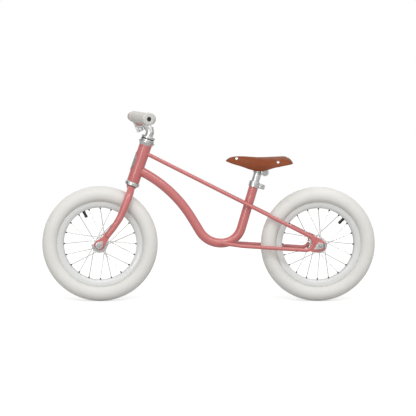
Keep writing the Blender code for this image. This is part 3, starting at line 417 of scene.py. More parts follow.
def aim(origin, axis):
    """A matrix that puts local +Z on the axis and local zero at the origin."""
    turn = Vector((0.0, 0.0, 1.0)).rotation_difference(Vector(axis).normalized())
    return Matrix.Translation(origin) @ turn.to_matrix().to_4x4()


def side_frame(origin, x_axis):
    x_axis = Vector(x_axis).normalized()
    columns = Matrix((x_axis, Y_AXIS, x_axis.cross(Y_AXIS))).transposed()
    return Matrix.Translation(origin) @ columns.to_4x4()


HEAD_FRAME = aim(HEAD_FOOT, STEER_AXIS)
SEAT_FRAME = aim(SEAT_TUBE_TOP, SEAT_AXIS)


def link_once(item):
    if item.name not in bpy.context.scene.collection.objects:
        bpy.context.scene.collection.objects.link(item)


def add(item, look, body, stands_for=(), smooth=35):
    """Show a piece: link it, shade it, give it its material, and fix it to its body."""
    link_once(item)
    if smooth:
        item.data.shade_smooth()
        item.data.set_sharp_from_angle(angle=math.radians(smooth))
    if look:
        item.data.materials.clear()
        item.data.materials.append(look)
    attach(item, body)
    if stands_for:
        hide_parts(*([stands_for] if isinstance(stands_for, str) else stands_for))
    return item


# ---------------------------------------------------------------- shapes
def item_from_shape(name, shape, matrix=None):
    mesh = bpy.data.meshes.new(name)
    shape.to_mesh(mesh)
    shape.free()
    mesh.transform(matrix or Matrix())
    return bpy.data.objects.new(name, mesh)


def stitch(shape, rows, around_rows, around_points):
    """Fill the faces between neighbouring rows of vertices, all round where asked."""
    count = len(rows[0])
    for row, other in zip(rows, rows[1:] + (rows[:1] if around_rows else [])):
        for index in range(count if around_points else count - 1):
            after = (index + 1) % count
            shape.faces.new((row[index], row[after], other[after], other[index]))


def opposite(points):
    """The same points in reverse order on the other side of zero."""
    return [(radius, -height) for radius, height in reversed(points)]


def softened(points, radius, closed):
    """The same outline with its corners rounded."""
    count = len(points)
    path = []
    for index, corner in enumerate(points):
        if not closed and index in (0, count - 1):
            path.append(corner)
            continue
        corner = Vector(corner)
        before = Vector(points[index - 1]) - corner
        after = Vector(points[(index + 1) % count]) - corner
        if before.length < 1e-7 or after.length < 1e-7:
            path.append(tuple(corner))
            continue
        reach = min(radius, 0.42 * before.length, 0.42 * after.length)
        start = corner + before.normalized() * reach
        end = corner + after.normalized() * reach
        for step in range(4):
            t = step / 3
            spot = start * (1 - t) ** 2 + corner * 2 * t * (1 - t) + end * t * t
            path.append(tuple(spot))
    return path


def lathe(name, profile, matrix, steps=64, closed=True, soft=0.0003):
    """A turned piece from (radius, height) points: a ring, or a solid if not closed."""
    if not closed:
        profile = [(0.0, profile[0][1])] + list(profile) + [(0.0, profile[-1][1])]
    outline = softened(profile, soft, closed) if soft else list(profile)
    shape = bmesh.new()
    rows = []
    for step in range(steps):
        angle = 2 * math.pi * step / steps
        rows.append([shape.verts.new((radius * math.cos(angle), radius * math.sin(angle), height))
                     for radius, height in outline])
    stitch(shape, rows, True, closed)
    bmesh.ops.remove_doubles(shape, verts=shape.verts, dist=1e-7)
    bmesh.ops.recalc_face_normals(shape, faces=shape.faces)
    return item_from_shape(name, shape, matrix)


def ring(name, inner, outer, low, high, matrix, steps=64, soft=0.0003):
    profile = [(outer, high), (outer, low), (inner, low), (inner, high)]
    return lathe(name, profile, matrix, steps, True, soft)


def pin(name, middle, half, radius, segments=48):
    """A cylinder that reaches as far to one side of its middle as to the other."""
    return cylinder(name, middle - half, middle + half, radius, segments)


def cylinder(name, start, end, radius, segments=48, end_radius=None):
    shape = bmesh.new()
    bmesh.ops.create_cone(shape, cap_ends=True, segments=segments, radius1=radius,
                          radius2=radius if end_radius is None else end_radius, depth=(end - start).length)
    return item_from_shape(name, shape, aim((start + end) / 2, end - start))


def box(name, size, matrix, bevel=0.0):
    shape = bmesh.new()
    bmesh.ops.create_cube(shape, size=1.0)
    bmesh.ops.scale(shape, vec=Vector(size), verts=shape.verts)
    if bevel:
        bmesh.ops.bevel(shape, geom=shape.edges, offset=bevel, segments=3, profile=0.5, affect="EDGES")
    return item_from_shape(name, shape, matrix)


def mesh_of(item):
    """Replace an object's data by what its modifiers and curve settings make of it."""
    link_once(item)
    depsgraph = bpy.context.evaluated_depsgraph_get()
    mesh = bpy.data.meshes.new_from_object(item.evaluated_get(depsgraph))
    mesh.transform(item.matrix_world)
    name = item.name
    bpy.data.objects.remove(item, do_unlink=True)
    result = bpy.data.objects.new(name, mesh)
    result.name = name
    return result


def plate(name, outline, thickness, y, bevel=0.0005):
    """A flat plate across Y from an outline of (x, z) points."""
    curve = bpy.data.curves.new(name, "CURVE")
    curve.dimensions = "2D"
    curve.fill_mode = "BOTH"
    curve.extrude = thickness / 2 - bevel
    curve.bevel_depth = bevel
    curve.bevel_resolution = 2
    curve.offset = -bevel
    spline = curve.splines.new("POLY")
    spline.points.add(len(outline) - 1)
    for point, (x, z) in zip(spline.points, outline):
        point.co = (x, z, 0.0, 1.0)
    spline.use_cyclic_u = True
    item = bpy.data.objects.new(name, curve)
    item.matrix_world = Matrix.Translation((0.0, y, 0.0)) @ Matrix.Rotation(math.pi / 2, 4, "X")
    return welded(mesh_of(item))


def welded(item):
    shape = bmesh.new()
    shape.from_mesh(item.data)
    bmesh.ops.remove_doubles(shape, verts=shape.verts, dist=WELD_DISTANCE)
    bmesh.ops.recalc_face_normals(shape, faces=shape.faces)
    shape.to_mesh(item.data)
    shape.free()
    return item


def tube(name, points, radius, sides=32, radii=None, cyclic=False):
    """A round tube along points; radii are factors of its radius."""
    curve = bpy.data.curves.new(name, "CURVE")
    curve.dimensions = "3D"
    curve.bevel_depth = radius
    curve.bevel_resolution = (sides - 4) // 2
    curve.use_fill_caps = not cyclic
    spline = curve.splines.new("POLY")
    spline.points.add(len(points) - 1)
    for index, (point, place) in enumerate(zip(spline.points, points)):
        point.co = (*place, 1.0)
        point.radius = radii[index] if radii else 1.0
    spline.use_cyclic_u = cyclic
    return welded(mesh_of(bpy.data.objects.new(name, curve)))


def combine(item, operation, operands):
    """Join other shapes to a piece or cut them from it, once and for all."""
    link_once(item)
    for operand in operands:
        link_once(operand)
        modifier = item.modifiers.new(operation.lower(), "BOOLEAN")
        modifier.operation = operation
        modifier.solver = "EXACT"
        modifier.object = operand
    result = mesh_of(item)
    for operand in operands:
        bpy.data.objects.remove(operand, do_unlink=True)
    return result


def melted(item, voxel, rounds):
    """One smooth skin over a joined shape, as paint or plating runs over its welds."""
    link_once(item)
    remesh = item.modifiers.new("skin", "REMESH")
    remesh.mode = "VOXEL"
    remesh.voxel_size = voxel
    smooth = item.modifiers.new("flow", "SMOOTH")
    smooth.factor = 0.5
    smooth.iterations = rounds
    return mesh_of(item)


# ---------------------------------------------------------------- paths
def rounded_path(corners, radii):
    """Straight runs between the corners, each corner rounded to its radius."""
    corners = [Vector(corner) for corner in corners]
    path = [corners[0]]
    for before, corner, after, radius in zip(corners, corners[1:], corners[2:], radii):
        to_before = (before - corner).normalized()
        to_after = (after - corner).normalized()
        turn = math.pi - to_before.angle(to_after)
        reach = radius * math.tan(turn / 2)
        start = corner + to_before * reach
        middle = corner + (to_before + to_after).normalized() * (radius / math.cos(turn / 2))
        arm = start - middle
        steps = max(2, math.ceil(turn / CORNER_STEP))
        for index in range(steps + 1):
            angle = turn * index / steps
            path.append(middle + arm * math.cos(angle) - to_before * radius * math.sin(angle))
    path.append(corners[-1])
    return path


def bent_path(start, heading, moves):
    """A bending schedule in the centre plane: lengths, and (radius, new heading) pairs."""
    x, z = start
    path = [Vector((x, 0.0, z))]
    for move in moves:
        if isinstance(move, float):
            x += move * math.cos(heading)
            z += move * math.sin(heading)
            path.append(Vector((x, 0.0, z)))
            continue
        radius, goal = move
        sense = math.copysign(1.0, goal - heading)
        centre_x = x - sense * radius * math.sin(heading)
        centre_z = z + sense * radius * math.cos(heading)
        steps = max(2, math.ceil(abs(goal - heading) / BEND_STEP))
        for index in range(1, steps + 1):
            angle = heading + (goal - heading) * index / steps
            x = centre_x + sense * radius * math.sin(angle)
            z = centre_z - sense * radius * math.cos(angle)
            path.append(Vector((x, 0.0, z)))
        heading = goal
    return path


def catmull_rom(a, b, c, d, steps):
    """The curve from b up to c, without c itself."""
    shares = [step / steps for step in range(steps)]
    return [0.5 * (2 * b + (c - a) * t + (2 * a - 5 * b + 4 * c - d) * t * t
                   + (3 * b - a - 3 * c + d) * t ** 3) for t in shares]


def smooth_path(points, steps):
    """A Catmull-Rom curve through points of any dimension, given as tuples."""
    points = [Vector(point) for point in points]
    points = [2 * points[0] - points[1]] + points + [2 * points[-1] - points[-2]]
    path = []
    for a, b, c, d in zip(points, points[1:], points[2:], points[3:]):
        path += catmull_rom(a, b, c, d, steps)
    path.append(points[-2])
    return path


def closed_path(points, steps):
    """A Catmull-Rom curve that runs on from its last point to its first."""
    points = [Vector(point) for point in points]
    count = len(points)
    path = []
    for index in range(count):
        near = [points[(index + shift) % count] for shift in (-1, 0, 1, 2)]
        path += catmull_rom(*near, steps)
    return path


def arc_outline(centre, radius, start_degrees, end_degrees, steps):
    turns = [math.radians(start_degrees + (end_degrees - start_degrees) * index / steps)
             for index in range(steps + 1)]
    return [(centre[0] + radius * math.cos(turn), centre[1] + radius * math.sin(turn)) for turn in turns]


def teardrop_outline(centre, radius, way, reach, nose_radius, steps):
    """Round a disc drawn out to a smaller round nose, whose tip is reach away."""
    nose_distance = reach - nose_radius
    lean = math.degrees(math.acos((radius - nose_radius) / nose_distance))
    facing = math.degrees(way)
    nose = (centre.x + nose_distance * math.cos(way), centre.z + nose_distance * math.sin(way))
    disc_arc = arc_outline((centre.x, centre.z), radius, facing + lean, facing + 360 - lean, steps)
    return disc_arc + arc_outline(nose, nose_radius, facing - lean, facing + lean, 12)


def weld_bead(name, start, way, radius, post_point, post_axis, post_radius, bead, body):
    """The rippled bead where a round tube runs into a round post."""
    way = Vector(way).normalized()
    post_axis = Vector(post_axis).normalized()
    side = way.orthogonal().normalized()
    other = way.cross(side)
    flat_way = way - post_axis * way.dot(post_axis)
    points = []
    for index in range(BEAD_POINTS):
        turn = 2 * math.pi * index / BEAD_POINTS
        place = start + (side * math.cos(turn) + other * math.sin(turn)) * radius
        offset = place - post_point
        flat = offset - post_axis * offset.dot(post_axis)
        a = flat_way.length_squared
        b = 2 * flat.dot(flat_way)
        c = flat.length_squared - post_radius ** 2
        root = max(0.0, b * b - 4 * a * c)
        points.append(place + way * ((-b - math.sqrt(root)) / (2 * a)))
    radii = [1.0 + 0.06 * math.sin(index * math.pi / 1.5) for index in range(BEAD_POINTS)]
    return add(tube(name, points, bead, 12, radii, True), PINK, body)


# ---------------------------------------------------------------- frame
def main_tube_path():
    down = math.radians(-58.5)
    path = bent_path((-0.1874, 0.3413), math.radians(-27.7),
                     [0.0174, (0.325, down), 0.040, (0.064, 0.0), 0.0012, (0.0537, SEAT_ANGLE)])
    path.append(SEAT_TUBE_TOP.copy())
    return path


def head_clearance(name):
    low, high = steering_point(-0.03), steering_point(HEAD_LENGTH + 0.03)
    return cylinder(name, low, high, HEAD_RADIUS - 0.0004, 96)


def make_head_tube():
    item = ring("head_tube_shell", 0.0150, HEAD_RADIUS, 0.0, HEAD_LENGTH, HEAD_FRAME, 96, 0.0006)
    add(item, PINK, "frame", "head_tube")


def make_main_tube():
    path = main_tube_path()
    item = tube("main_tube_bent", path, MAIN_RADIUS, 48)
    bore = cylinder("bore", seat_point(-0.100), seat_point(0.02), POST_RADIUS + 0.0002, 64)
    item = combine(item, "DIFFERENCE", [head_clearance("cope"), bore])
    add(item, PINK, "frame", "main_tube")
    start = path[2]
    weld_bead("weld_main_to_head", start, path[0] - path[1], MAIN_RADIUS, HEAD_FOOT, STEER_AXIS,
              HEAD_RADIUS, 0.0009, "frame")


def line_crossing(first, first_angle, second, second_angle):
    run = second[0] - first[0]
    rise = second[1] - first[1]
    first_slope = math.tan(first_angle)
    second_slope = math.tan(second_angle)
    x = first[0] + (rise - run * second_slope) / (first_slope - second_slope)
    return x, first[1] + (x - first[0]) * first_slope


def stay_path(side):
    upper_angle = math.radians(-26.46)
    lower_angle = math.radians(-3.4)
    upper_start = (-0.1372, 0.3685)
    lower_start = (0.0774, 0.1465)
    corner_x, corner_z = line_crossing(upper_start, upper_angle, lower_start, lower_angle)

    def upper(x, y):
        return x, side * y, upper_start[1] + (x - upper_start[0]) * math.tan(upper_angle)

    corners = [upper(-0.170, 0.0056), upper(0.096, 0.0176), upper(0.205, REAR_PLATE_Y),
               (corner_x, side * REAR_PLATE_Y, corner_z), (0.0850, side * 0.0345, 0.1462),
               (0.0170, side * 0.0050, 0.1525)]
    return rounded_path(corners, [0.15, 0.10, HAIRPIN_RADIUS, 0.05])


def rear_plate_outline():
    hairpin_arc = arc_outline(HAIRPIN_CENTRE, HAIRPIN_RADIUS, -75, 58, 24)
    top = [(0.2640, 0.1752), (0.2790, 0.1685), (0.2895, 0.1625)]
    nose = arc_outline((0.2845, 0.1480), 0.0140, 52, -48, 24)
    low = [(0.2860, 0.1338), (0.2780, 0.1323), (0.2640, 0.1318)]
    return list(reversed(low)) + list(reversed(nose)) + list(reversed(top)) + list(reversed(hairpin_arc))


def make_rear_stays():
    for side_name, side in SIDES:
        path = stay_path(side)
        item = tube("stay_tube_" + side_name, path, STAY_RADIUS, 28)
        main_space = tube("main_space", main_tube_path(), MAIN_RADIUS - 0.0003, 48)
        item = combine(item, "DIFFERENCE", [head_clearance("cope"), main_space])
        add(item, PINK, "frame", "rear_stay_" + side_name)
        weld_bead("weld_stay_to_head_" + side_name, path[1], path[0] - path[1], STAY_RADIUS, HEAD_FOOT,
                  STEER_AXIS, HEAD_RADIUS, 0.0006, "frame")

        y = side * REAR_PLATE_Y
        dropout = plate("dropout_" + side_name, rear_plate_outline(), PLATE_THICKNESS, y, 0.0006)
        across = Y_AXIS * PLATE_THICKNESS
        slot_start = REAR_AXLE + Y_AXIS * y - Vector((0.004, 0.0, 0.0))
        slot = box("slot", (0.040, 2 * PLATE_THICKNESS, 2 * SLOT_HALF_WIDTH),
                   Matrix.Translation(slot_start + Vector((0.020, 0.0, 0.0))))
        slot_end = pin("slot_end", slot_start, across, SLOT_HALF_WIDTH, 32)
        dropout = combine(dropout, "DIFFERENCE", [slot, slot_end])
        add(dropout, PINK, "frame")
        seam_radius = HAIRPIN_RADIUS + STAY_RADIUS * 0.82
        for face in (-1, 1):
            seam = [(x, y + face * (PLATE_THICKNESS / 2 - 0.0002), z)
                    for x, z in arc_outline(HAIRPIN_CENTRE, seam_radius, -70, 52, 40)]
            last = len(seam) - 1
            factors = [0.35 + 0.65 * math.sin(math.pi * index / last) ** 0.5 for index in range(last + 1)]
            facing = "out" if face == side else "in"
            bead = tube("weld_dropout_%s_%s" % (side_name, facing), seam, 0.0006, 10, factors)
            add(bead, PINK, "frame")


def make_seat_collar():
    low = -0.0128
    item = ring("collar_band", MAIN_RADIUS - 0.002, COLLAR_RADIUS, low, 0.0015, SEAT_FRAME, 96, 0.0008)
    ears = box("ears", (0.0150, 0.0170, 0.0120), side_frame(seat_point(-0.0062, 0.0200), SEAT_BACK), 0.0016)
    inside = cylinder("inside", seat_point(-0.03), seat_point(0.02), MAIN_RADIUS + 0.0001, 96)
    split = box("split", (0.0240, 0.0020, 0.0300), side_frame(seat_point(-0.006, 0.0220), SEAT_BACK))
    bolt_place = seat_point(-0.0062, 0.0215)
    hole = pin("hole", bolt_place, Y_AXIS * 0.02, 0.0029, 32)
    item = combine(item, "UNION", [ears])
    item = combine(item, "DIFFERENCE", [inside, split, hole])
    add(item, CHROME, "frame", "seat_clamp_collar")
    face = 0.0085
    bolt = [(0.0022, face + 0.0012), (0.0022, face + 0.0035), (0.0044, face + 0.0035),
            (0.0046, face + 0.0028), (0.0046, face), (0.0027, face), (0.0027, -face), (0.0046, -face),
            (0.0046, -face - 0.0035)]
    add(lathe("collar_bolt", bolt, aim(bolt_place, -Y_AXIS), 48, False), STEEL, "frame", "seat_clamp_bolt")


def make_head_badge():
    """A plain oval plate, slightly domed, bent round the front of the head tube."""
    middle = 0.0511
    shape = bmesh.new()
    rings = []
    for radius in (0.0, 0.25, 0.5, 0.75, 0.90, 0.97, 1.0, 1.0):
        row = []
        for step in range(BADGE_POINTS):
            turn = 2 * math.pi * step / BADGE_POINTS
            along = BADGE_HALF_HEIGHT * radius * math.cos(turn)
            around = BADGE_HALF_WIDTH * radius * math.sin(turn)
            border = 0.00035 if 0.86 < radius < 0.99 else 0.0
            lift = 0.0013 + border - 0.0003 * radius ** 2
            if len(rings) == 7:
                lift = 0.0001
            angle = around / HEAD_RADIUS
            place = steering_point(middle + along)
            out = STEER_FORWARD * math.cos(angle) + Y_AXIS * math.sin(angle)
            row.append(shape.verts.new(place + out * (HEAD_RADIUS + lift)))
        rings.append(row)
    stitch(shape, rings, False, True)
    bmesh.ops.remove_doubles(shape, verts=shape.verts, dist=1e-7)
    bmesh.ops.recalc_face_normals(shape, faces=shape.faces)
    add(item_from_shape("oval_badge", shape), STEEL, "frame", "head_badge")


# ---------------------------------------------------------------- headset
def make_headset():
    top = aim(steering_point(HEAD_LENGTH), STEER_AXIS)
    upper_cup = [(0.0210, 0.0100), (0.0210, 0.0078), (0.0178, 0.0034), (0.0166, 0.0), (0.0147, 0.0),
                 (0.0147, -0.0090), (0.0134, -0.0090), (0.0134, 0.0025), (0.0165, 0.0045),
                 (0.0186, 0.0060), (0.0186, 0.0100)]
    add(lathe("headset_cup_top", upper_cup, top, 96, soft=0.0005), CHROME, "frame", "upper_headset_cup")
    race = [(0.0170, 0.0160), (0.0178, 0.0152), (0.0178, 0.0108), (0.0155, 0.0093), (0.0139, 0.0064),
            (0.0130, 0.0064), (0.0130, 0.0160)]
    add(lathe("headset_race_top", race, top, 96), CHROME, "fork", "adjusting_race")
    add(ring("headset_washer", 0.0130, 0.0164, 0.0161, 0.0180, top, 96), DARK_STEEL, "fork", "keyed_washer")
    locknut = [(0.0152, 0.0246), (0.0174, 0.0232), (0.0174, 0.0191), (0.0166, 0.0181), (0.0130, 0.0181),
               (0.0130, 0.0225), (0.0112, 0.0225), (0.0112, 0.0246)]
    add(lathe("headset_nut", locknut, top, 96, soft=0.0005), CHROME, "fork", "headset_locknut")
    lower_cup = [(0.0147, 0.0090), (0.0147, 0.0), (0.0166, 0.0), (0.0184, -0.0018), (0.0184, -0.0098),
                 (0.0176, -0.0098), (0.0176, -0.0054), (0.0156, -0.0036), (0.0134, -0.0024), (0.0134, 0.0090)]
    add(lathe("headset_cup_low", lower_cup, HEAD_FRAME, 96, soft=0.0005), CHROME, "frame",
        "lower_headset_cup")
    crown_race = [(0.0134, -0.0084), (0.0160, -0.0094), (0.0160, -0.0098), (0.0138, -0.0114),
                  (0.0130, -0.0114), (0.0130, -0.0084)]
    add(lathe("headset_race_low", crown_race, HEAD_FRAME, 96), DARK_STEEL, "fork", "crown_race")


# ---------------------------------------------------------------- fork
def blade_points(side):
    centre = [(-0.2005, 0.0062, 0.2985, 0.0088), (-0.2040, 0.0215, 0.2850, 0.0094),
              (-0.2088, 0.0330, 0.2700, 0.0098), (-0.2168, 0.0392, 0.2490, 0.0098),
              (-0.2287, 0.0412, 0.2210, 0.0089), (-0.2459, 0.0420, 0.1930, 0.0077),
              (-0.2622, 0.0420, 0.1718, 0.0072)]
    path = smooth_path(centre, 10)
    return [(x, side * y, z) for x, y, z, _ in path], [radius for _, _, _, radius in path]


def make_fork():
    crown = [(STEERER_RADIUS, HEAD_LENGTH + 0.0222), (STEERER_RADIUS, -0.0115), (0.0132, -0.0115),
             (0.0132, -0.0130), (0.0090, -0.0215)]
    item = lathe("fork_painted", crown, HEAD_FRAME, 64, False)
    slot_way = Vector((math.cos(TIP_SLOT_ANGLE), 0.0, math.sin(TIP_SLOT_ANGLE)))
    tip_outline = teardrop_outline(FRONT_AXLE, TIP_RADIUS, FRONT_TAB_ANGLE, TIP_REACH, TIP_NECK_RADIUS, 64)
    joined = []
    slots = []
    for side_name, side in SIDES:
        points, radii = blade_points(side)
        blade = tube("blade_" + side_name, points, 1.0, 36, radii)
        space = cylinder("race_space", steering_point(-0.0116), steering_point(0.03), 0.035, 64)
        joined.append(combine(blade, "DIFFERENCE", [space]))
        centre = FRONT_AXLE + Y_AXIS * side * FRONT_PLATE_Y
        joined.append(plate("tip_" + side_name, tip_outline, PLATE_THICKNESS, side * FRONT_PLATE_Y))
        across = Y_AXIS * PLATE_THICKNESS
        slots.append(pin("tip_hole_" + side_name, centre, across, SLOT_HALF_WIDTH, 48))
        slots.append(box("tip_slot_" + side_name, (0.0160, 2 * PLATE_THICKNESS, 2 * SLOT_HALF_WIDTH),
                         side_frame(centre + slot_way * 0.0080, slot_way)))
    item = combine(item, "UNION", joined)
    item = combine(item, "DIFFERENCE", slots)
    item = melted(item, 0.0008, 5)
    add(item, PINK, "fork", "fork", smooth=60)


# ---------------------------------------------------------------- wheels
def tyre_outline():
    """From the right bead over the tread to the left bead, as (radius, y)."""
    half = [(0.1050, 0.0105), (0.1085, 0.0108), (0.1104, 0.0128), (0.1140, 0.0182), (0.1190, 0.0218),
            (0.1250, 0.0234), (0.1310, 0.0232), (0.1365, 0.0213), (0.1412, 0.0181), (0.1448, 0.0140),
            (0.1472, 0.0092), (0.1483, 0.0045), (0.1485, 0.0)]
    points = half + opposite(half[:-1])
    return smooth_path(points, 5)


def groove_depth(turn, y):
    """How deep the tread is cut at a share of one pitch and a distance from the middle."""
    def near(start, end, width):
        ax, ay = start
        bx, by = end
        run_x, run_y = bx - ax, by - ay
        share = ((turn - ax) * run_x + (y - ay) * run_y) / (run_x * run_x + run_y * run_y)
        share = min(1.0, max(0.0, share))
        gap = math.hypot(turn - ax - run_x * share, y - ay - run_y * share)
        return max(0.0, 1.0 - (gap / width) ** 2)

    depth = 0.0
    for shift in (-1, 0, 1):
        base = shift * PITCH
        for start, end, width in TREAD_CUTS:
            cut = near((base + start[0], start[1]), (base + end[0], end[1]), width)
            depth = max(depth, cut)
    return depth


def make_tyre(prefix, centre):
    """A round tyre with slanted cuts across the tread and its shoulders."""
    outline = tyre_outline()
    steps_per_pitch = 26
    steps = PITCH_COUNT * steps_per_pitch
    lean = {-1: 0.0, 1: PITCH / 2}
    columns = []
    for local in range(steps_per_pitch):
        place = PITCH * local / steps_per_pitch
        column = []
        for radius, y in outline:
            side = 1 if y >= 0 else -1
            cut = groove_depth((place + lean[side]) % PITCH, abs(y)) if radius > TREAD_LOW_RADIUS else 0.0
            column.append(radius - TREAD_DEPTH * cut)
        columns.append(column)
    inside = [(0.1440, 0.0055), (0.1365, 0.0176), (0.1115, 0.0120), (0.1050, 0.0085)]
    inner = opposite(inside) + inside
    shape = bmesh.new()
    rows = []
    for step in range(steps):
        angle = -2 * math.pi * step / steps
        column = columns[step % steps_per_pitch]
        points = [(radius, y) for radius, (_, y) in zip(column, outline)] + inner
        rows.append([shape.verts.new((radius * math.cos(angle), y, radius * math.sin(angle)))
                     for radius, y in points])
    stitch(shape, rows, True, True)
    bmesh.ops.recalc_face_normals(shape, faces=shape.faces)
    item = item_from_shape(prefix + "_tyre_cover", shape, Matrix.Translation(centre))
    add(item, TYRE_RUBBER, prefix + "_wheel", prefix + "_tyre", smooth=50)


def make_rim(prefix, centre, valve_angle):
    edge = RIM_EDGE_RADIUS
    half = [(edge, 0.0136), (edge + 0.0003, 0.0127), (edge, 0.0117), (0.1045, 0.0115), (0.1038, 0.0075),
            (0.1005, 0.0050)]
    back = [(RIM_INNER_RADIUS, 0.0072), (0.0951, 0.0100), (0.1000, 0.0125), (0.1055, 0.0134)]
    profile = half + opposite(half)
    profile += opposite(back) + back
    matrix = aim(centre, Y_AXIS)
    item = lathe(prefix + "_rim_hoop", profile, matrix, 180, soft=0.0007)
    holes = [cylinder("valve_hole", wheel_point(centre, valve_angle, 0.1000),
                      wheel_point(centre, valve_angle, 0.0880), 0.0042, 32)]
    item = combine(item, "DIFFERENCE", holes)
    add(item, WHITE_PAINT, prefix + "_wheel", prefix + "_rim")


def merged(name, items):
    """Several shapes as one object."""
    shape = bmesh.new()
    for item in items:
        shape.from_mesh(item.data)
        bpy.data.objects.remove(item, do_unlink=True)
    return item_from_shape(name, shape)


def make_spokes(centre):
    spokes = []
    nipples = []
    for index in range(SPOKE_COUNT):
        rim_angle = math.radians(90) + 2 * math.pi * index / SPOKE_COUNT
        side = -1 if index % 2 else 1
        lead = -1 if index % 4 < 2 else 1
        hub_angle = rim_angle + lead * SPOKE_CROSS_ANGLE
        outer = FLANGE_Y + 0.0022
        inner = FLANGE_Y - 0.0022
        leave, head = (outer, inner) if lead > 0 else (inner, outer)
        hole = SPOKE_HOLE_RADIUS
        start = wheel_point(centre, hub_angle, hole, side * leave)
        end = wheel_point(centre, rim_angle, RIM_INNER_RADIUS + 0.001, side * 0.0015)
        way = (end - start).normalized()
        through = wheel_point(centre, hub_angle, hole, side * head)
        path = [through, wheel_point(centre, hub_angle, hole, side * (leave * 0.8 + head * 0.2)),
                start + way * 0.0008, start + way * 0.0040, end]
        spokes.append(tube("spoke", path, 0.00095, 10))
        head_end = wheel_point(centre, hub_angle, hole, side * (head + (head - leave) * 0.22))
        spokes.append(cylinder("spoke_head", through, head_end, 0.0020, 16, 0.0013))
        nipple = [(0.0019, 0.0), (0.0019, 0.0042), (0.0016, 0.0050), (0.0011, 0.0052)]
        nipple = [(radius, -height) for radius, height in nipple]
        nipples.append(lathe("nipple", [(0.0021, 0.0016)] + nipple, aim(end, way), 16, False, 0.0002))
    return spokes, nipples


def make_hub(prefix, centre):
    half = [(0.0155, 0.0330), (0.0155, 0.0288), (0.0185, 0.0286), (FLANGE_RADIUS, 0.0284),
            (FLANGE_RADIUS, 0.0260), (0.0175, 0.0258), (0.0150, 0.0240), (0.0125, 0.0205), (0.0118, 0.0150)]
    bore = [(0.0070, 0.0249), (0.0132, 0.0249), (0.0132, 0.0330)]
    profile = half + opposite(half)
    profile += opposite(bore) + bore
    hub = lathe("shell", profile, aim(centre, Y_AXIS), 96, soft=0.0005)
    spokes, nipples = make_spokes(centre)
    add(merged(prefix + "_hub_shell", [hub]), CHROME, prefix + "_wheel", prefix + "_hub_and_spokes")
    add(merged(prefix + "_spoke_set", spokes), CHROME, prefix + "_wheel", smooth=50)
    add(merged(prefix + "_nipples", nipples), NIPPLE, prefix + "_wheel", smooth=50)
    for side_name, side in SIDES:
        hole = AXLE_RADIUS + GAP
        outline = [(0.0128, 0.0326), (0.0128, 0.0252), (hole, 0.0252), (hole, 0.0326), (0.0076, 0.0326),
                   (0.0080, 0.0318), (0.0106, 0.0318), (0.0110, 0.0326)]
        item = lathe(prefix + "_bearing_seal_" + side_name, outline, aim(centre, Y_AXIS * side), 64)
        add(item, STEEL, prefix + "_wheel", prefix + "_bearing_" + side_name)


def make_valve(prefix, centre, angle):
    body = prefix + "_wheel"
    base = wheel_point(centre, angle, VALVE_BASE_RADIUS)
    inward = (centre - base).normalized()
    stem = [(0.0048, 0.0), (0.0048, 0.0022), (0.0040, 0.0040), (0.0037, 0.0110), (0.0037, 0.0128),
            (0.0026, 0.0131), (0.0026, 0.0190)]
    stem_item = lathe("stem", stem, aim(base, inward), 32, False)
    skin = [(0.1270 + 0.0158 * math.cos(turn), 0.0158 * math.sin(turn))
            for turn in (2 * math.pi * step / 16 for step in range(16))]
    tube_item = lathe("skin", skin, aim(centre, Y_AXIS), 96, soft=0)
    add(merged(prefix + "_tube_and_valve", [stem_item, tube_item]), BLACK_RUBBER, body,
        prefix + "_inner_tube")
    cap = [(0.0022, 0.0080), (0.0036, 0.0070), (0.0037, 0.0004), (0.0031, 0.0), (0.0028, 0.0)]
    place = aim(wheel_point(centre, angle, CAP_FOOT_RADIUS), inward)
    cap_item = lathe("cap", cap, place, 32, False)
    ribs = []
    for step in range(CAP_RIBS):
        turn = 2 * math.pi * step / CAP_RIBS
        start = Vector((0.00365 * math.cos(turn), 0.00365 * math.sin(turn), 0.0008))
        rib = cylinder("rib", start, start + Vector((0.0, 0.0, 0.0052)), 0.00032, 6)
        rib.data.transform(place)
        ribs.append(rib)
    add(merged(prefix + "_dust_cap", [cap_item] + ribs), BLACK_RUBBER, body, prefix + "_valve_cap")


def hex_prism(name, corner_radius, low, high, hole, matrix):
    """A hex nut with turned chamfers and a bored hole."""
    shape = bmesh.new()
    bmesh.ops.create_cone(shape, cap_ends=True, segments=6, radius1=corner_radius, radius2=corner_radius,
                          depth=high - low)
    item = item_from_shape(name, shape, matrix @ Matrix.Translation((0.0, 0.0, (low + high) / 2)))
    flat = corner_radius * 0.90
    widest = corner_radius + 0.0004
    blank = [(flat, high + 0.0001), (widest, high - 0.0014), (widest, low + 0.0003),
             (corner_radius - 0.0002, low - 0.0001)]
    chamfer = lathe("chamfer", blank, matrix, 48, False, 0)
    bore = lathe("bore", [(hole, high + 0.01), (hole, low - 0.01)], matrix, 48, False, 0)
    item = combine(item, "INTERSECT", [chamfer])
    return combine(item, "DIFFERENCE", [bore])


